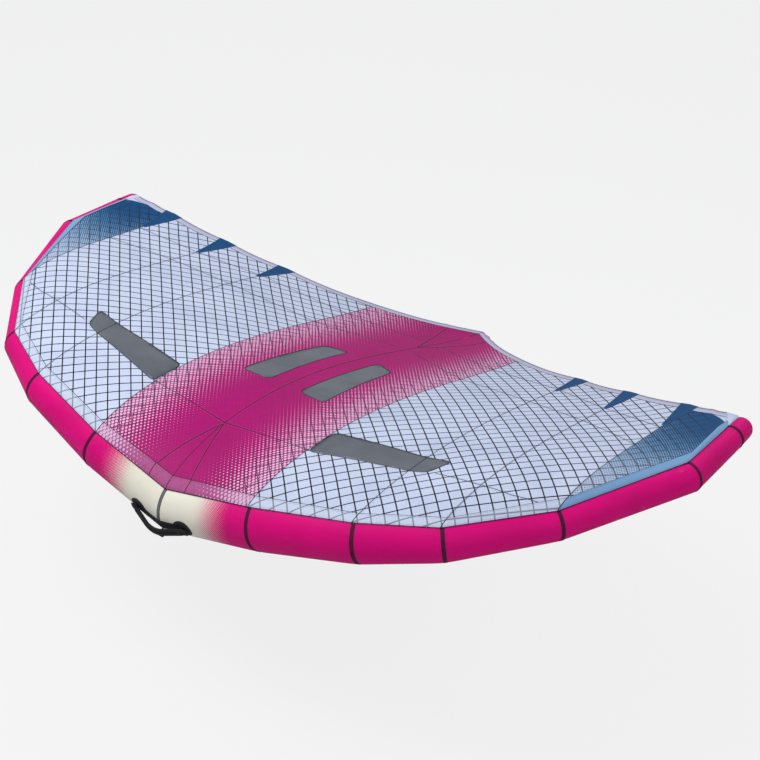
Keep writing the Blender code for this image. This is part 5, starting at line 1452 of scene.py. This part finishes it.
def build_strut(sewing):
    """Four sleeve panels of the strut, the first one shaped to the leading edge."""
    bounds = (0.0,) + STRUT_SEAM_SHARES + (STRUT_TABLE[-1][0],)
    half = GAP / 2 / STRUT_LENGTH
    for index in range(4):
        start, end = bounds[index], bounds[index + 1]
        spots = steps(start + (half if index else 0.0), end - (half if index < 3 else 0.0),
                      max(round((end - start) * 70), 10))
        grids = [strut_sleeve_rows(index, bounds, spots, lift, sewing) for lift in (0.0, -SKIN)]
        uv = []
        for k in range(len(grids[0])):
            share = spots[min(k, len(spots) - 1)]
            girth = 2 * math.pi * strut_section(share)[1]
            uv.append([(girth * i / STRUT_SIDES, share * STRUT_LENGTH + 1.0) for i in range(STRUT_SIDES)])
        made = slab(f"strut_sleeve_{index + 1}", *grids, ["sleeve"], {"wrap": uv}, (f"strut_panel_{index + 1}",),
                    wrap=True)
        if index == 0:
            cut_to_tube(made)
            continue
    build_strut_seams(sewing)


def build_strut_seams(sewing):
    """A felled seam between each two strut sleeves, with a row of stitches on both sides."""
    bag, runs = new_bag(), []
    half = sewing.strut_seam / 2 / STRUT_LENGTH
    for share, lean in zip(STRUT_SEAM_SHARES, STRUT_LEANS[1:]):
        grids = [[strut_ring(share + k * half, lift, lean) for k in (-1, 1)] for lift in (0.0011, 0.0003)]
        add_slab(bag, *grids, {"wrap": [[(i * 0.004, k) for i in range(STRUT_SIDES)] for k in (-1, 1)]}, wrap=True)
        for k in (-2.4, 2.4):
            ring = strut_ring(share + k * half, 0.0008, lean)
            runs.append(ring + ring[:1])
    piece("strut_felled_seams", bag, ["seam"], ("strut_seam_tapes",))
    sew("strut_stitches", runs, "thread", sewing)


def build_web():
    """The sheer web between the strut's top and the canopy's centre line."""
    radius = LE_RADIUS + TAPE_TOP + GAP + CLOTH_EASE
    foot_room, head_room = TAPE_TOP + GAP + CLOTH_EASE, SKIN / 2 + GAP + CLOTH_EASE
    height, width = strut_section(WEB_START_SHARE)
    low, high = math.acos((height + width + foot_room - LE_CENTRE.z) / radius), math.radians(26.0)
    front = [LE_CENTRE + Vector((0.0, math.sin(a), math.cos(a))) * radius for a in steps(low, high, 9)]
    front.append(Vector((0.0, front[-1].y, canopy_height(front[-1].y) - head_room)))
    rows = [front]
    for share in steps(WEB_START_SHARE + 0.012, WEB_TAIL_SHARE, 48):
        height, width = strut_section(share)
        foot, aft = height + width + foot_room, strut_aft(share)
        head = max(canopy_height(aft) - head_room, foot + GAP)
        rows.append([Vector((0.0, aft, mix(foot, head, s))) for s in steps(0.0, 1.0, 10)])
    shift = Vector((0.0004, 0.0, 0.0))
    made = slab("sheer_web", [[p + shift for p in row] for row in rows], [[p - shift for p in row] for row in rows],
                ["web"], {"plan": [[(p.y, p.z) for p in row] for row in rows]}, ("strut_web",))


# Boom, handle, leash loop and hard parts

def pitched(point):
    """Turn a boom point about the grip's middle."""
    return Vector((point.x, point.y * math.cos(BOOM_PITCH) - point.z * math.sin(BOOM_PITCH),
                   point.y * math.sin(BOOM_PITCH) + point.z * math.cos(BOOM_PITCH)))


def strut_underside(aft):
    """Lowest point of the strut's frame at a distance aft."""
    share = (aft + STRUT_NOSE_AHEAD) / STRUT_LENGTH
    at = next(i for i in range(len(STRUT_TABLE) - 1) if share <= STRUT_TABLE[i + 1][0])
    low, high = STRUT_TABLE[at], STRUT_TABLE[at + 1]
    part = (share - low[0]) / (high[0] - low[0])
    return Vector((0.0, aft, mix(low[1] - low[2], high[1] - high[2], part)))


def build_boom():
    """The foam grip sleeve round the boom tube."""
    ends = []
    for way in (-1, 1):
        corner = pitched(Vector((0.0, way * BOOM_LENGTH / 2, 0.0)))
        top = strut_underside(corner.y + way * BOOM_SPLAY) - UP * (SOCKET_FLANGE_WALL + SKIN + GAP * 3)
        ends.append((corner, top, (corner - top).normalized()))
    (front, front_top, front_down), (rear, rear_top, rear_down) = ends
    path = [front_top + front_down * (GAP + SCREW_HEAD_HEIGHT)]
    for corner, before, after in ((front, front_top, rear), (rear, front, rear_top)):
        start = corner + (before - corner).normalized() * min(BOOM_BEND_RADIUS, 0.8 * (corner - before).length)
        end = corner + (after - corner).normalized() * min(BOOM_BEND_RADIUS, 0.8 * (corner - after).length)
        path += [mix(mix(start, corner, s), mix(corner, end, s), s) for s in steps(0.0, 1.0, 16)]
        if corner is front:
            straight = rear + (front - rear).normalized() * BOOM_BEND_RADIUS
            path += [mix(path[-1], straight, s) for s in steps(0.0, 1.0, 60)[1:-1]]
    path.append(rear_top + rear_down * (GAP + SCREW_HEAD_HEIGHT))
    run = [sum((path[k + 1] - path[k]).length for k in range(i)) for i in range(len(path))]
    grids = [ring_rows(path, Vector((1.0, 0.0, 0.0)), BOOM_TUBE_RADIUS + GAP + wall, 40)
             for wall in (GRIP_WALL, 0.0)]
    made = slab("boom_foam_grip", *grids, ["foam"], {"wrap": [[(r, k / 40) for k in range(40)] for r in run]},
                ("boom_grip",), wrap=True)


def finish_frame_parts():
    """Give the frame's own rigid parts their finishes."""
    for names, key in ((("boom_tube",), "carbon"), (("boom_socket_front", "boom_socket_rear"), "nylon"),
                       (("boom_screw_front", "boom_screw_rear"), "steel"),
                       (("valve_body", "bladder_link"), "nylon_grey"), (("valve_cap", "valve_poppet"), "nylon")):
        for name in names:
            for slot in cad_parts[name].material_slots:
                slot.material = FINISHES[key]


def on_front(across, along, lift, degrees=HANDLE_DEGREES):
    """A point on the front of the tube, along running round it from the given angle."""
    place = abs(across) / (LE_SPAN_SHARES[1] * HALF_SPAN)
    point = le_point(place, degrees + math.degrees(along / LE_RADIUS), lift)
    return Vector((math.copysign(point.x, across), point.y, point.z))


def handle_half_width(across):
    """Half height of the handle's base patch."""
    inside = HANDLE_LOBE_RADIUS ** 2 - (abs(across) - HANDLE_HALF_REACH) ** 2
    lobe = math.sqrt(inside) if inside > 0 else 0.0
    return max(lobe, HANDLE_BAND_HALF if abs(across) < HANDLE_HALF_REACH else 0.0)


def build_handle_base(lift, end):
    """The dog-bone patch under the strap; returns the line of its rim."""
    top, bottom, uv, rim = [], [], [], []
    for across in (-end * math.cos(math.pi * i / 72) for i in range(73)):
        tall = max(handle_half_width(across), 0.002)
        row_top, row_low, row_uv = [], [], []
        for k in range(21):
            s = -math.cos(math.pi * k / 20)
            edge = min(tall * (1 - abs(s)), end - abs(across) + 0.001)
            wall = HANDLE_PATCH_WALL * min(1.0, math.sqrt(max(edge, 0.0) / 0.004) * 0.7 + 0.3)
            row_top.append(on_front(across, tall * s, lift + wall))
            row_low.append(on_front(across, tall * s, lift))
            row_uv.append((across, tall * s))
        top.append(row_top)
        bottom.append(row_low)
        uv.append(row_uv)
        rim.append((across, max(tall - 0.005, 0.0)))
    made = slab("handle_base", top, bottom, ["webbing"], {"wrap": uv}, ("handle_base_patch",))
    return rim


def strap_path(seat, count):
    """The strap's middle line, seated at its ends and standing off between them."""
    path = []
    for across in steps(-STRAP_HALF_REACH, STRAP_HALF_REACH, count):
        near = min(abs(across) / STRAP_LIFT_OFF, 1.0)
        arch = ((1 + math.cos(math.pi * near)) / 2) ** STRAP_ARCH_POWER
        path.append(on_front(across, 0.0, seat + STRAP_STAND_OFF * arch))
    # The strap's stiffness rounds off the bend that the tube's middle seam gives its path
    return [sum(path[i - k:i + k + 1], Vector()) / (2 * k + 1)
            for i, k in enumerate(min(i, count - i, 15) for i in range(count + 1))]


def strap_thinning(s):
    """The strap's thickness from its middle, 0, to its sewn and rounded ends, 1."""
    end = 1.0 if s < 0.95 else math.sqrt(max(1 - ((s - 0.95) / 0.05) ** 2, 0.0)) * 0.6 + 0.4
    return mix(1.0, 0.55, ramp_value(s, 0.80, 0.90)) * end


def strap_rings(path, tangent):
    """Rounded oblong rings along the strap, with two sewn channels, and their UV rows."""
    rows, uv, run, count = [], [], 0.0, len(path) - 1
    for i, centre in enumerate(path):
        along = (path[min(i + 1, count)] - path[max(i - 1, 0)]).normalized()
        thick = along.cross(tangent).normalized()
        run += (centre - path[max(i - 1, 0)]).length
        thin = strap_thinning(abs(2 * i / count - 1))
        row, around = [], []
        for k in range(48):
            a = 2 * math.pi * k / 48
            across = math.copysign(abs(math.cos(a)) ** 0.75, math.cos(a)) * STRAP_WIDTH / 2
            high = math.copysign(abs(math.sin(a)) ** 0.85, math.sin(a)) * STRAP_THICKNESS / 2 * thin
            channel = math.exp(-((abs(across) - STRAP_WIDTH * 0.26) / 0.0017) ** 2) * 0.0018
            high -= math.copysign(channel, high) if abs(high) > 0.002 else 0.0
            row.append(centre + tangent * across + thick * high)
            around.append((run, across))
        rows.append(row)
        uv.append(around)
    return rows, uv


def strap_box_stitch(rows, path, tangent, outward, low, high):
    """A sewn box on the outer face of one strap end, between two of its rings."""
    corners = [(low, -1), (high, -1), (high, 1), (low, 1), (low, -1)]
    run = []
    for (a, m), (b, n) in zip(corners, corners[1:]):
        for s in steps(0.0, 1.0, 6)[bool(run):]:
            i = round(mix(a, b, s))
            across = mix(m, n, s) * STRAP_WIDTH * 0.34
            near, far = (min(side, key=lambda k: abs((rows[i][k] - path[i]).dot(tangent) - across))
                         for side in (range(1, 24), range(25, 48)))
            crown = max((rows[i][near], rows[i][far]), key=lambda p: p.dot(outward))
            run.append(crown + outward * 0.0004)
    return run


def build_handle(sewing):
    """The dog-bone base patch and the padded strap that arches between its lobes."""
    lift, count = TAPE_TOP + GAP, 96
    rim = build_handle_base(lift, HANDLE_HALF_REACH + HANDLE_LOBE_RADIUS * 0.995)
    wall = lift + HANDLE_PATCH_WALL + 0.0004
    runs = [[on_front(a * 0.975, h * sign, wall) for a, h in rim] for sign in (-1, 1)]
    outward = (on_front(0.0, 0.0, lift) - LE_CENTRE).normalized()
    tangent = Vector((1.0, 0.0, 0.0)).cross(outward)
    path = strap_path(lift + HANDLE_PATCH_WALL + GAP + STRAP_THICKNESS / 2, count)
    rows, uv = strap_rings(path, tangent)
    bag = new_bag()
    add_loft(bag, rows, {"wrap": uv})
    made = piece("handle_strap_padded", bag, ["webbing"], ("handle_strap",))
    runs += [strap_box_stitch(rows, path, tangent, outward, low, high)
             for low, high in ((2, 11), (count - 11, count - 2))]
    sew("handle_stitches", runs, "thread_pale", sewing)


def build_leash():
    """The webbing loop that a leash ties to, and the pale sewn patch it comes out of."""
    tangent = Vector((1.0, 0.0, 0.0)).cross(LEASH_OUTWARD)
    top = LEASH_LOOP_LENGTH - LEASH_LOOP_RADIUS
    grids = []
    for low_radius, low_height, high_radius in ((LEASH_ROOT_RADIUS, 0.0, LEASH_LOOP_RADIUS),
                                                (LEASH_HOLE_RADIUS, LEASH_HOLE_START,
                                                 LEASH_LOOP_RADIUS - LEASH_WEBBING)):
        outline = []
        for radius, height, start in ((high_radius, top, 0.0), (low_radius, low_height, math.pi)):
            outline += [(radius * math.cos(start + math.pi * s), height + radius * math.sin(start + math.pi * s))
                        for s in steps(0.0, 1.0, 20)]
        rows = []
        for s in (-1.0, -0.96, -0.85, -0.4, 0.0, 0.4, 0.85, 0.96, 1.0):
            shrink = 0.0003 if abs(s) > 0.97 else 0.0
            shift = Vector((s * LEASH_LOOP_WIDTH / 2, 0.0, 0.0))
            rows.append([LEASH_ROOT + tangent * (along * (1 - shrink)) + LEASH_OUTWARD * out + shift
                         for along, out in outline])
        grids.append(rows)
    uv = [[(k * 0.0018, r * 0.0025) for k in range(len(grids[0][0]))] for r in range(9)]
    slab("leash_webbing_loop", *grids, ["webbing"], {"wrap": uv}, ("leash_loop",), wrap=True, body=LEASH)
    long, wide = LEASH_PATCH
    for name, key, grow, low, high in (("leash_patch_border", "seam", 0.0024, 0.0004, 0.0007),
                                       ("leash_patch", "patch_cream", 0.0, 0.0007, 0.0011)):
        spots = [(x, y) for x in steps(-long / 2 - grow, long / 2 + grow, 14)
                 for y in steps(-wide / 2 - grow, wide / 2 + grow, 6)]
        grids = [[[on_front(x, y, TAPE_TOP + lift, LEASH_DEGREES) for x, y in spots[i * 7:i * 7 + 7]]
                  for i in range(15)] for lift in (high, low)]
        rows = [spots[i * 7:i * 7 + 7] for i in range(15)]
        slab(name, *grids, [key], {"plan": rows, "wrap": [[(x, 1.0) for x, _ in row] for row in rows]})


# Stage

def build_floor(stage):
    """A pale floor that a camera below it sees through."""
    material = bpy.data.materials.new("matt_painted_studio_floor")
    material.use_nodes = True
    tree = material.node_tree
    tree.nodes.clear()
    path = tree.nodes.new("ShaderNodeLightPath")
    diffuse = put(tree, "ShaderNodeBsdfDiffuse", {"Color": rgba(stage.floor)})
    glow = put(tree, "ShaderNodeEmission", {"Color": WHITE, "Strength": 1.0})
    share = calc(tree, "MULTIPLY", path.outputs["Is Camera Ray"], stage.floor_glow)
    both = put(tree, "ShaderNodeMixShader", {0: share, 1: diffuse, 2: glow})
    below = tree.nodes.new("ShaderNodeNewGeometry").outputs["Backfacing"]
    both = put(tree, "ShaderNodeMixShader", {0: below, 1: both, 2: put(tree, "ShaderNodeBsdfTransparent")})
    put(tree, "ShaderNodeOutputMaterial", {"Surface": both})
    mesh = bpy.data.meshes.new("studio_floor")
    corners = [(x * FLOOR_REACH, y * FLOOR_REACH, FLOOR_HEIGHT) for x, y in ((-1, -1), (1, -1), (1, 1), (-1, 1))]
    mesh.from_pydata(corners, [], [(0, 1, 2, 3)])
    mesh.materials.append(material)
    floor = bpy.data.objects.new("studio_floor", mesh)
    link(floor)


def build_sky(stage):
    """Even light from all round, seen as white by the camera."""
    world = bpy.data.worlds.new("studio_sky")
    bpy.context.scene.world = world
    world.use_nodes = True
    tree = world.node_tree
    tree.nodes.clear()
    path = tree.nodes.new("ShaderNodeLightPath")
    soft = put(tree, "ShaderNodeBackground", {"Color": rgba(stage.sky_colour), "Strength": stage.sky})
    white = put(tree, "ShaderNodeBackground", {"Color": WHITE, "Strength": 1.0})
    both = put(tree, "ShaderNodeMixShader", {0: path.outputs["Is Camera Ray"], 1: soft, 2: white})
    put(tree, "ShaderNodeOutputWorld", {"Surface": both})


def build_stage(stage):
    """A pale floor, soft lamps and a camera at the photograph's angle."""
    build_floor(stage)
    build_sky(stage)
    for name, spot, width, power in (("key", (-2.2, -2.4, 5.2), 3.0, stage.key),
                                     ("fill", (4.5, -1.5, 2.6), 3.5, stage.fill),
                                     ("back", (0.5, 4.5, 3.6), 3.5, stage.fill)):
        lamp = bpy.data.lights.new(name, "AREA")
        lamp.shape = "DISK"
        lamp.size = width
        lamp.energy = power
        obj = bpy.data.objects.new(name, lamp)
        obj.location = spot
        obj.rotation_euler = (LAMP_AIM - Vector(spot)).to_track_quat("-Z", "Y").to_euler()
        link(obj)
    build_camera()


def build_camera():
    """The camera of the photograph's largest view."""
    azimuth, elevation, roll = (math.radians(v) for v in CAMERA_ANGLES)
    back = Vector((math.sin(azimuth) * math.cos(elevation), -math.cos(azimuth) * math.cos(elevation),
                   math.sin(elevation)))
    right = (-back).cross(UP).normalized()
    up = right.cross(-back)
    right, up = (right * math.cos(roll) + up * math.sin(roll), up * math.cos(roll) - right * math.sin(roll))
    data = bpy.data.cameras.new("photo_camera")
    data.sensor_width = 36.0
    data.lens = CAMERA_SCALE * CAMERA_DISTANCE * 2 / 760 * 36.0
    data.shift_x, data.shift_y = CAMERA_SHIFT
    data.clip_end = 200.0
    camera = bpy.data.objects.new("photo_camera", data)
    camera.matrix_world = (Matrix.Translation(CAMERA_AIM + back * CAMERA_DISTANCE)
                           @ Matrix((right, up, back)).transposed().to_4x4())
    link(camera)
    bpy.context.scene.camera = camera
    bpy.context.scene.view_settings.view_transform = "Standard"


# The add-on

def shade(name, hexed, words):
    """A colour that a user can change."""
    return bpy.props.FloatVectorProperty(name=name, description=words, subtype="COLOR", size=3, min=0.0, max=1.0,
                                         default=linear(hexed))


def span(name, metres, words):
    """A length that a user can change."""
    return bpy.props.FloatProperty(name=name, description=words, subtype="DISTANCE", unit="LENGTH", precision=4,
                                   min=0.0, default=metres)


class WingCloth(bpy.types.PropertyGroup):
    """Colours of the wing's materials."""
    sleeve: shade("Sleeve", "#E6007E", "Sleeves of the leading edge and strut")
    sleeve_worn: shade("Sleeve, worn", "#C4006A", "Sleeves where they are stretched or handled")
    cream: shade("Cream", "#F4F1DF", "Undyed cloth of the two middle sleeves")
    cream_worn: shade("Cream, worn", "#E6E2CC", "Undyed cloth where it is handled")
    # Magenta above carries painted sky light, magenta below painted ground light.
    magenta_painted_sky_light: shade("Magenta, above", "#AE0B70", "Upper face of the middle canopy cloth")
    magenta_painted_ground_light: shade("Magenta, below", "#C41270", "Lower face of the middle canopy cloth")
    magenta_worn: shade("Magenta, worn", "#9C0D60", "Middle canopy cloth where it is stretched")
    # Lilac above carries painted sky light; lilac below, plain and worn, carries painted ground light.
    white_painted_sky_light: shade("Lilac, above", "#CFD9F1", "Upper face of the pale canopy cloths")
    white_worn: shade("Lilac, worn", "#BEC9E4", "Pale canopy cloths where they are stretched")
    white_painted_ground_light: shade("Lilac, below", "#E4E6D8", "Lower face of the pale canopy cloths")
    white_painted_ground_light_worn: shade("Lilac, below and worn", "#D6D8CA", "Lower face where the cloth is stretched")
    # Blue above carries painted sky light, blue below painted ground light.
    blue_painted_sky_light: shade("Blue, above", "#134E80", "Upper face of the tips and darts")
    blue_painted_ground_light: shade("Blue, below", "#20607E", "Lower face of the tips and darts")
    blue_worn: shade("Blue, worn", "#103F6A", "Blue cloth where it is stretched")
    blue_pale: shade("Pale blue", "#8DB8DA", "Printed dots of the tips")
    # Grid above carries painted sky light, grid below painted ground light.
    grid_painted_sky_light: shade("Grid, above", "#10131E", "Load grid seen from above")
    grid_painted_ground_light: shade("Grid, below", "#1D1F20", "Load grid seen from below")
    grid_magenta: shade("Grid in magenta", "#4A0F42", "Load grid under the magenta ink")
    dot_pink: shade("Pale pink", "#ECD2F0", "Printed dots of the middle cloth, and scuffs")
    doubler_pink: shade("Doubler, middle", "#B4568F", "Doubler over the middle cloth")
    doubler_white: shade("Doubler, pale", "#CBD5EC", "Doubler over the pale cloths")
    doubler_blue: shade("Doubler, tip", "#7FA9D2", "Doubler over the tips")
    hem: shade("Hem", "#C3C4DC", "Folded hem of the rear edge")
    hem_worn: shade("Hem, worn", "#B2B4CC", "Hem where it is rubbed")
    web: shade("Web", "#EBDCE8", "Web between strut and canopy")
    web_worn: shade("Web, creased", "#DCCBD9", "Web along its creases")
    window: shade("Window", "#6C7179", "Window film")
    window_worn: shade("Window, scuffed", "#5F646C", "Window film where it is scuffed")
    tape: shade("Tape", "#5A123E", "Middle of the seam tapes")
    tape_grey: shade("Grey tape", "#74777C", "Middle of the centre tape")
    seam: shade("Seam", "#221F2A", "Felled seams and tape edges")
    thread: shade("Dark thread", "#2B2632", "Thread of the tapes and hems")
    thread_pale: shade("Grey thread", "#8E93A0", "Thread of the canopy and handle")
    thread_worn: shade("Thread, worn", "#4A4854", "Thread where it is rubbed")
    black: shade("Black", "#121214", "Foam, webbing and moulded parts")
    black_worn: shade("Black, worn", "#242428", "Black parts where they are rubbed")
    moulding_grey: shade("Grey moulding", "#5C6064", "Valve body and link tube")
    moulding_worn: shade("Grey moulding, worn", "#4B4E52", "Grey mouldings where they are rubbed")
    bladder: shade("Bladder", "#C9CFD2", "Air bladders")
    bladder_worn: shade("Bladder, cloudy", "#B9C0C4", "Air bladders where they are cloudy")
    steel: shade("Steel", "#B8BABD", "Cross bolts")
    steel_worn: shade("Steel, worn", "#8E9094", "Cross bolts along their tool marks")


class WingSewing(bpy.types.PropertyGroup):
    """Lengths of the prints, seams and stitches."""
    grid_gap: span("Grid gap", 0.0459, "Distance between the lines of the load grid")
    grid_width: span("Grid width", 0.0050, "Width of a load grid line")
    dot_pitch: span("Dot pitch", 0.018, "Distance between printed dots in one row")
    dot_row: span("Dot row", 0.01135, "Distance between rows of printed dots")
    tip_dot: span("Tip dot", 0.0115, "Distance between the printed dots of the tips")
    fine_dot: span("Fine dot", 0.0078, "Distance between the dots of the middle sleeves")
    fade_start: span("Fade start", 0.13, "Distance from the centre where cream begins to fade")
    fade_end: span("Fade end", 0.34, "Distance from the centre where magenta is full")
    tape_width: span("Tape width", 0.014, "Width of a seam tape on the leading edge")
    closing_width: span("Closing seam", 0.0045, "Width of the seam along the underside")
    strut_seam: span("Strut seam", 0.004, "Width of a strut seam")
    seam_width: span("Canopy seam", 0.0026, "Width of a felled canopy seam")
    border_width: span("Window border", 0.0026, "Width of a window's bound edge")
    puff: span("Puff", 0.0012, "How far inflated cloth stands proud of its seams")
    pucker: span("Pucker", 0.0005, "Height of the puckers beside a seam")
    seam_pull: span("Seam pull", 0.012, "Distance over which a seam draws the cloth in")
    stitch_pitch: span("Stitch pitch", 0.0075, "Distance between stitches")
    stitch_length: span("Stitch length", 0.0055, "Length of one stitch")
    thread_width: span("Thread width", 0.0009, "Thickness of the thread")


class WingStage(bpy.types.PropertyGroup):
    """Light and floor of the studio."""
    sky: bpy.props.FloatProperty(name="Sky", description="Strength of the even light", min=0.0, default=0.50)
    sky_colour: shade("Sky colour", "#F2F4FA", "Colour of the even light")
    key: bpy.props.FloatProperty(name="Key lamp", description="Power of the main lamp", subtype="POWER",
                                 unit="POWER", min=0.0, default=200.0)
    fill: bpy.props.FloatProperty(name="Fill lamps", description="Power of each softer lamp", subtype="POWER",
                                  unit="POWER", min=0.0, default=30.0)
    floor: shade("Floor", "#C4C4C8", "Colour of the floor")
    floor_glow: bpy.props.FloatProperty(name="Floor lift", description="Share of plain white in the floor",
                                        subtype="FACTOR", min=0.0, max=1.0, default=0.82)


def require_finishes():
    """Stop a step that has no materials to use."""
    if not FINISHES:
        raise RuntimeError("Make the materials before any piece")


class WingMaterials(bpy.types.Operator):
    """Make every finish of the wing"""
    bl_idname = "wing.materials"
    bl_label = "Materials"

    def execute(self, context):
        cloth, sewing = context.scene.wing_cloth, context.scene.wing_sewing
        canopy_finishes(cloth, sewing)
        thin_finishes(cloth, sewing)
        sleeve_finishes(cloth, sewing)
        hard_finishes(cloth)
        return {"FINISHED"}


class WingLeadingEdge(bpy.types.Operator):
    """Build the leading edge's sleeves and tips"""
    bl_idname = "wing.leading_edge"
    bl_label = "Leading edge"

    def execute(self, context):
        require_finishes()
        build_leading_edge(context.scene.wing_sewing)
        return {"FINISHED"}


class WingTapes(bpy.types.Operator):
    """Build the tapes over the leading edge's seams"""
    bl_idname = "wing.tapes"
    bl_label = "Seam tapes"

    def execute(self, context):
        require_finishes()
        build_seam_tapes(context.scene.wing_sewing)
        return {"FINISHED"}


class WingBladders(bpy.types.Operator):
    """Build the air bladders inside the sleeves"""
    bl_idname = "wing.bladders"
    bl_label = "Bladders"

    def execute(self, context):
        require_finishes()
        build_bladders()
        return {"FINISHED"}


class WingCanopy(bpy.types.Operator):
    """Build the canopy's cloth with its seams"""
    bl_idname = "wing.canopy"
    bl_label = "Canopy"

    def execute(self, context):
        require_finishes()
        build_canopy()
        build_canopy_seams(context.scene.wing_sewing)
        return {"FINISHED"}


class WingInlays(bpy.types.Operator):
    """Build the windows, the darts and the tip patches"""
    bl_idname = "wing.inlays"
    bl_label = "Windows and darts"

    def execute(self, context):
        require_finishes()
        build_windows(context.scene.wing_sewing)
        build_darts(context.scene.wing_sewing)
        return {"FINISHED"}


class WingTrims(bpy.types.Operator):
    """Build the front doubler and the rear hem"""
    bl_idname = "wing.trims"
    bl_label = "Doubler and hem"

    def execute(self, context):
        require_finishes()
        build_trims(context.scene.wing_sewing)
        return {"FINISHED"}


class WingStrut(bpy.types.Operator):
    """Build the strut's sleeves, seams and web"""
    bl_idname = "wing.strut"
    bl_label = "Strut and web"

    def execute(self, context):
        require_finishes()
        build_strut(context.scene.wing_sewing)
        build_web()
        return {"FINISHED"}


class WingBoom(bpy.types.Operator):
    """Build the boom's grip and finish the rigid parts"""
    bl_idname = "wing.boom"
    bl_label = "Boom and rigid parts"

    def execute(self, context):
        require_finishes()
        build_boom()
        finish_frame_parts()
        return {"FINISHED"}


class WingHandle(bpy.types.Operator):
    """Build the front handle"""
    bl_idname = "wing.handle"
    bl_label = "Handle"

    def execute(self, context):
        require_finishes()
        build_handle(context.scene.wing_sewing)
        return {"FINISHED"}


class WingLeash(bpy.types.Operator):
    """Build the leash loop and its patch"""
    bl_idname = "wing.leash"
    bl_label = "Leash loop"

    def execute(self, context):
        require_finishes()
        build_leash()
        return {"FINISHED"}


class WingStudio(bpy.types.Operator):
    """Set the floor, the lamps and the camera"""
    bl_idname = "wing.studio"
    bl_label = "Studio"

    def execute(self, context):
        build_stage(context.scene.wing_stage)
        return {"FINISHED"}


class WingPanel(bpy.types.Panel):
    """Buttons and settings of the wing"""
    bl_idname = "VIEW3D_PT_hand_wing"
    bl_label = "Hand Wing"
    bl_space_type = "VIEW_3D"
    bl_region_type = "UI"
    bl_category = "Hand Wing"

    def draw(self, context):
        for step in STEPS:
            self.layout.operator(step.bl_idname)
        for settings in (context.scene.wing_sewing, context.scene.wing_stage, context.scene.wing_cloth):
            box = self.layout.box()
            for name in settings.__annotations__:
                box.prop(settings, name)


STEPS = (WingMaterials, WingStudio, WingLeadingEdge, WingTapes, WingBladders, WingCanopy, WingInlays, WingTrims,
         WingStrut, WingBoom, WingHandle, WingLeash)
CLASSES = (WingCloth, WingSewing, WingStage, *STEPS, WingPanel)


def register():
    """Add the buttons and settings."""
    for kind in CLASSES:
        bpy.utils.register_class(kind)
    bpy.types.Scene.wing_cloth = bpy.props.PointerProperty(type=WingCloth)
    bpy.types.Scene.wing_sewing = bpy.props.PointerProperty(type=WingSewing)
    bpy.types.Scene.wing_stage = bpy.props.PointerProperty(type=WingStage)


def unregister():
    """Take the buttons and settings away."""
    del bpy.types.Scene.wing_stage, bpy.types.Scene.wing_sewing, bpy.types.Scene.wing_cloth
    for kind in reversed(CLASSES):
        bpy.utils.unregister_class(kind)


def main():
    """Build every piece in order."""
    register()
    bpy.ops.wing.materials()
    bpy.ops.wing.studio()
    bpy.ops.wing.leading_edge()
    bpy.ops.wing.tapes()
    bpy.ops.wing.bladders()
    bpy.ops.wing.canopy()
    bpy.ops.wing.inlays()
    bpy.ops.wing.trims()
    bpy.ops.wing.strut()
    bpy.ops.wing.boom()
    bpy.ops.wing.handle()
    bpy.ops.wing.leash()


if __name__ == "__main__":
    main()
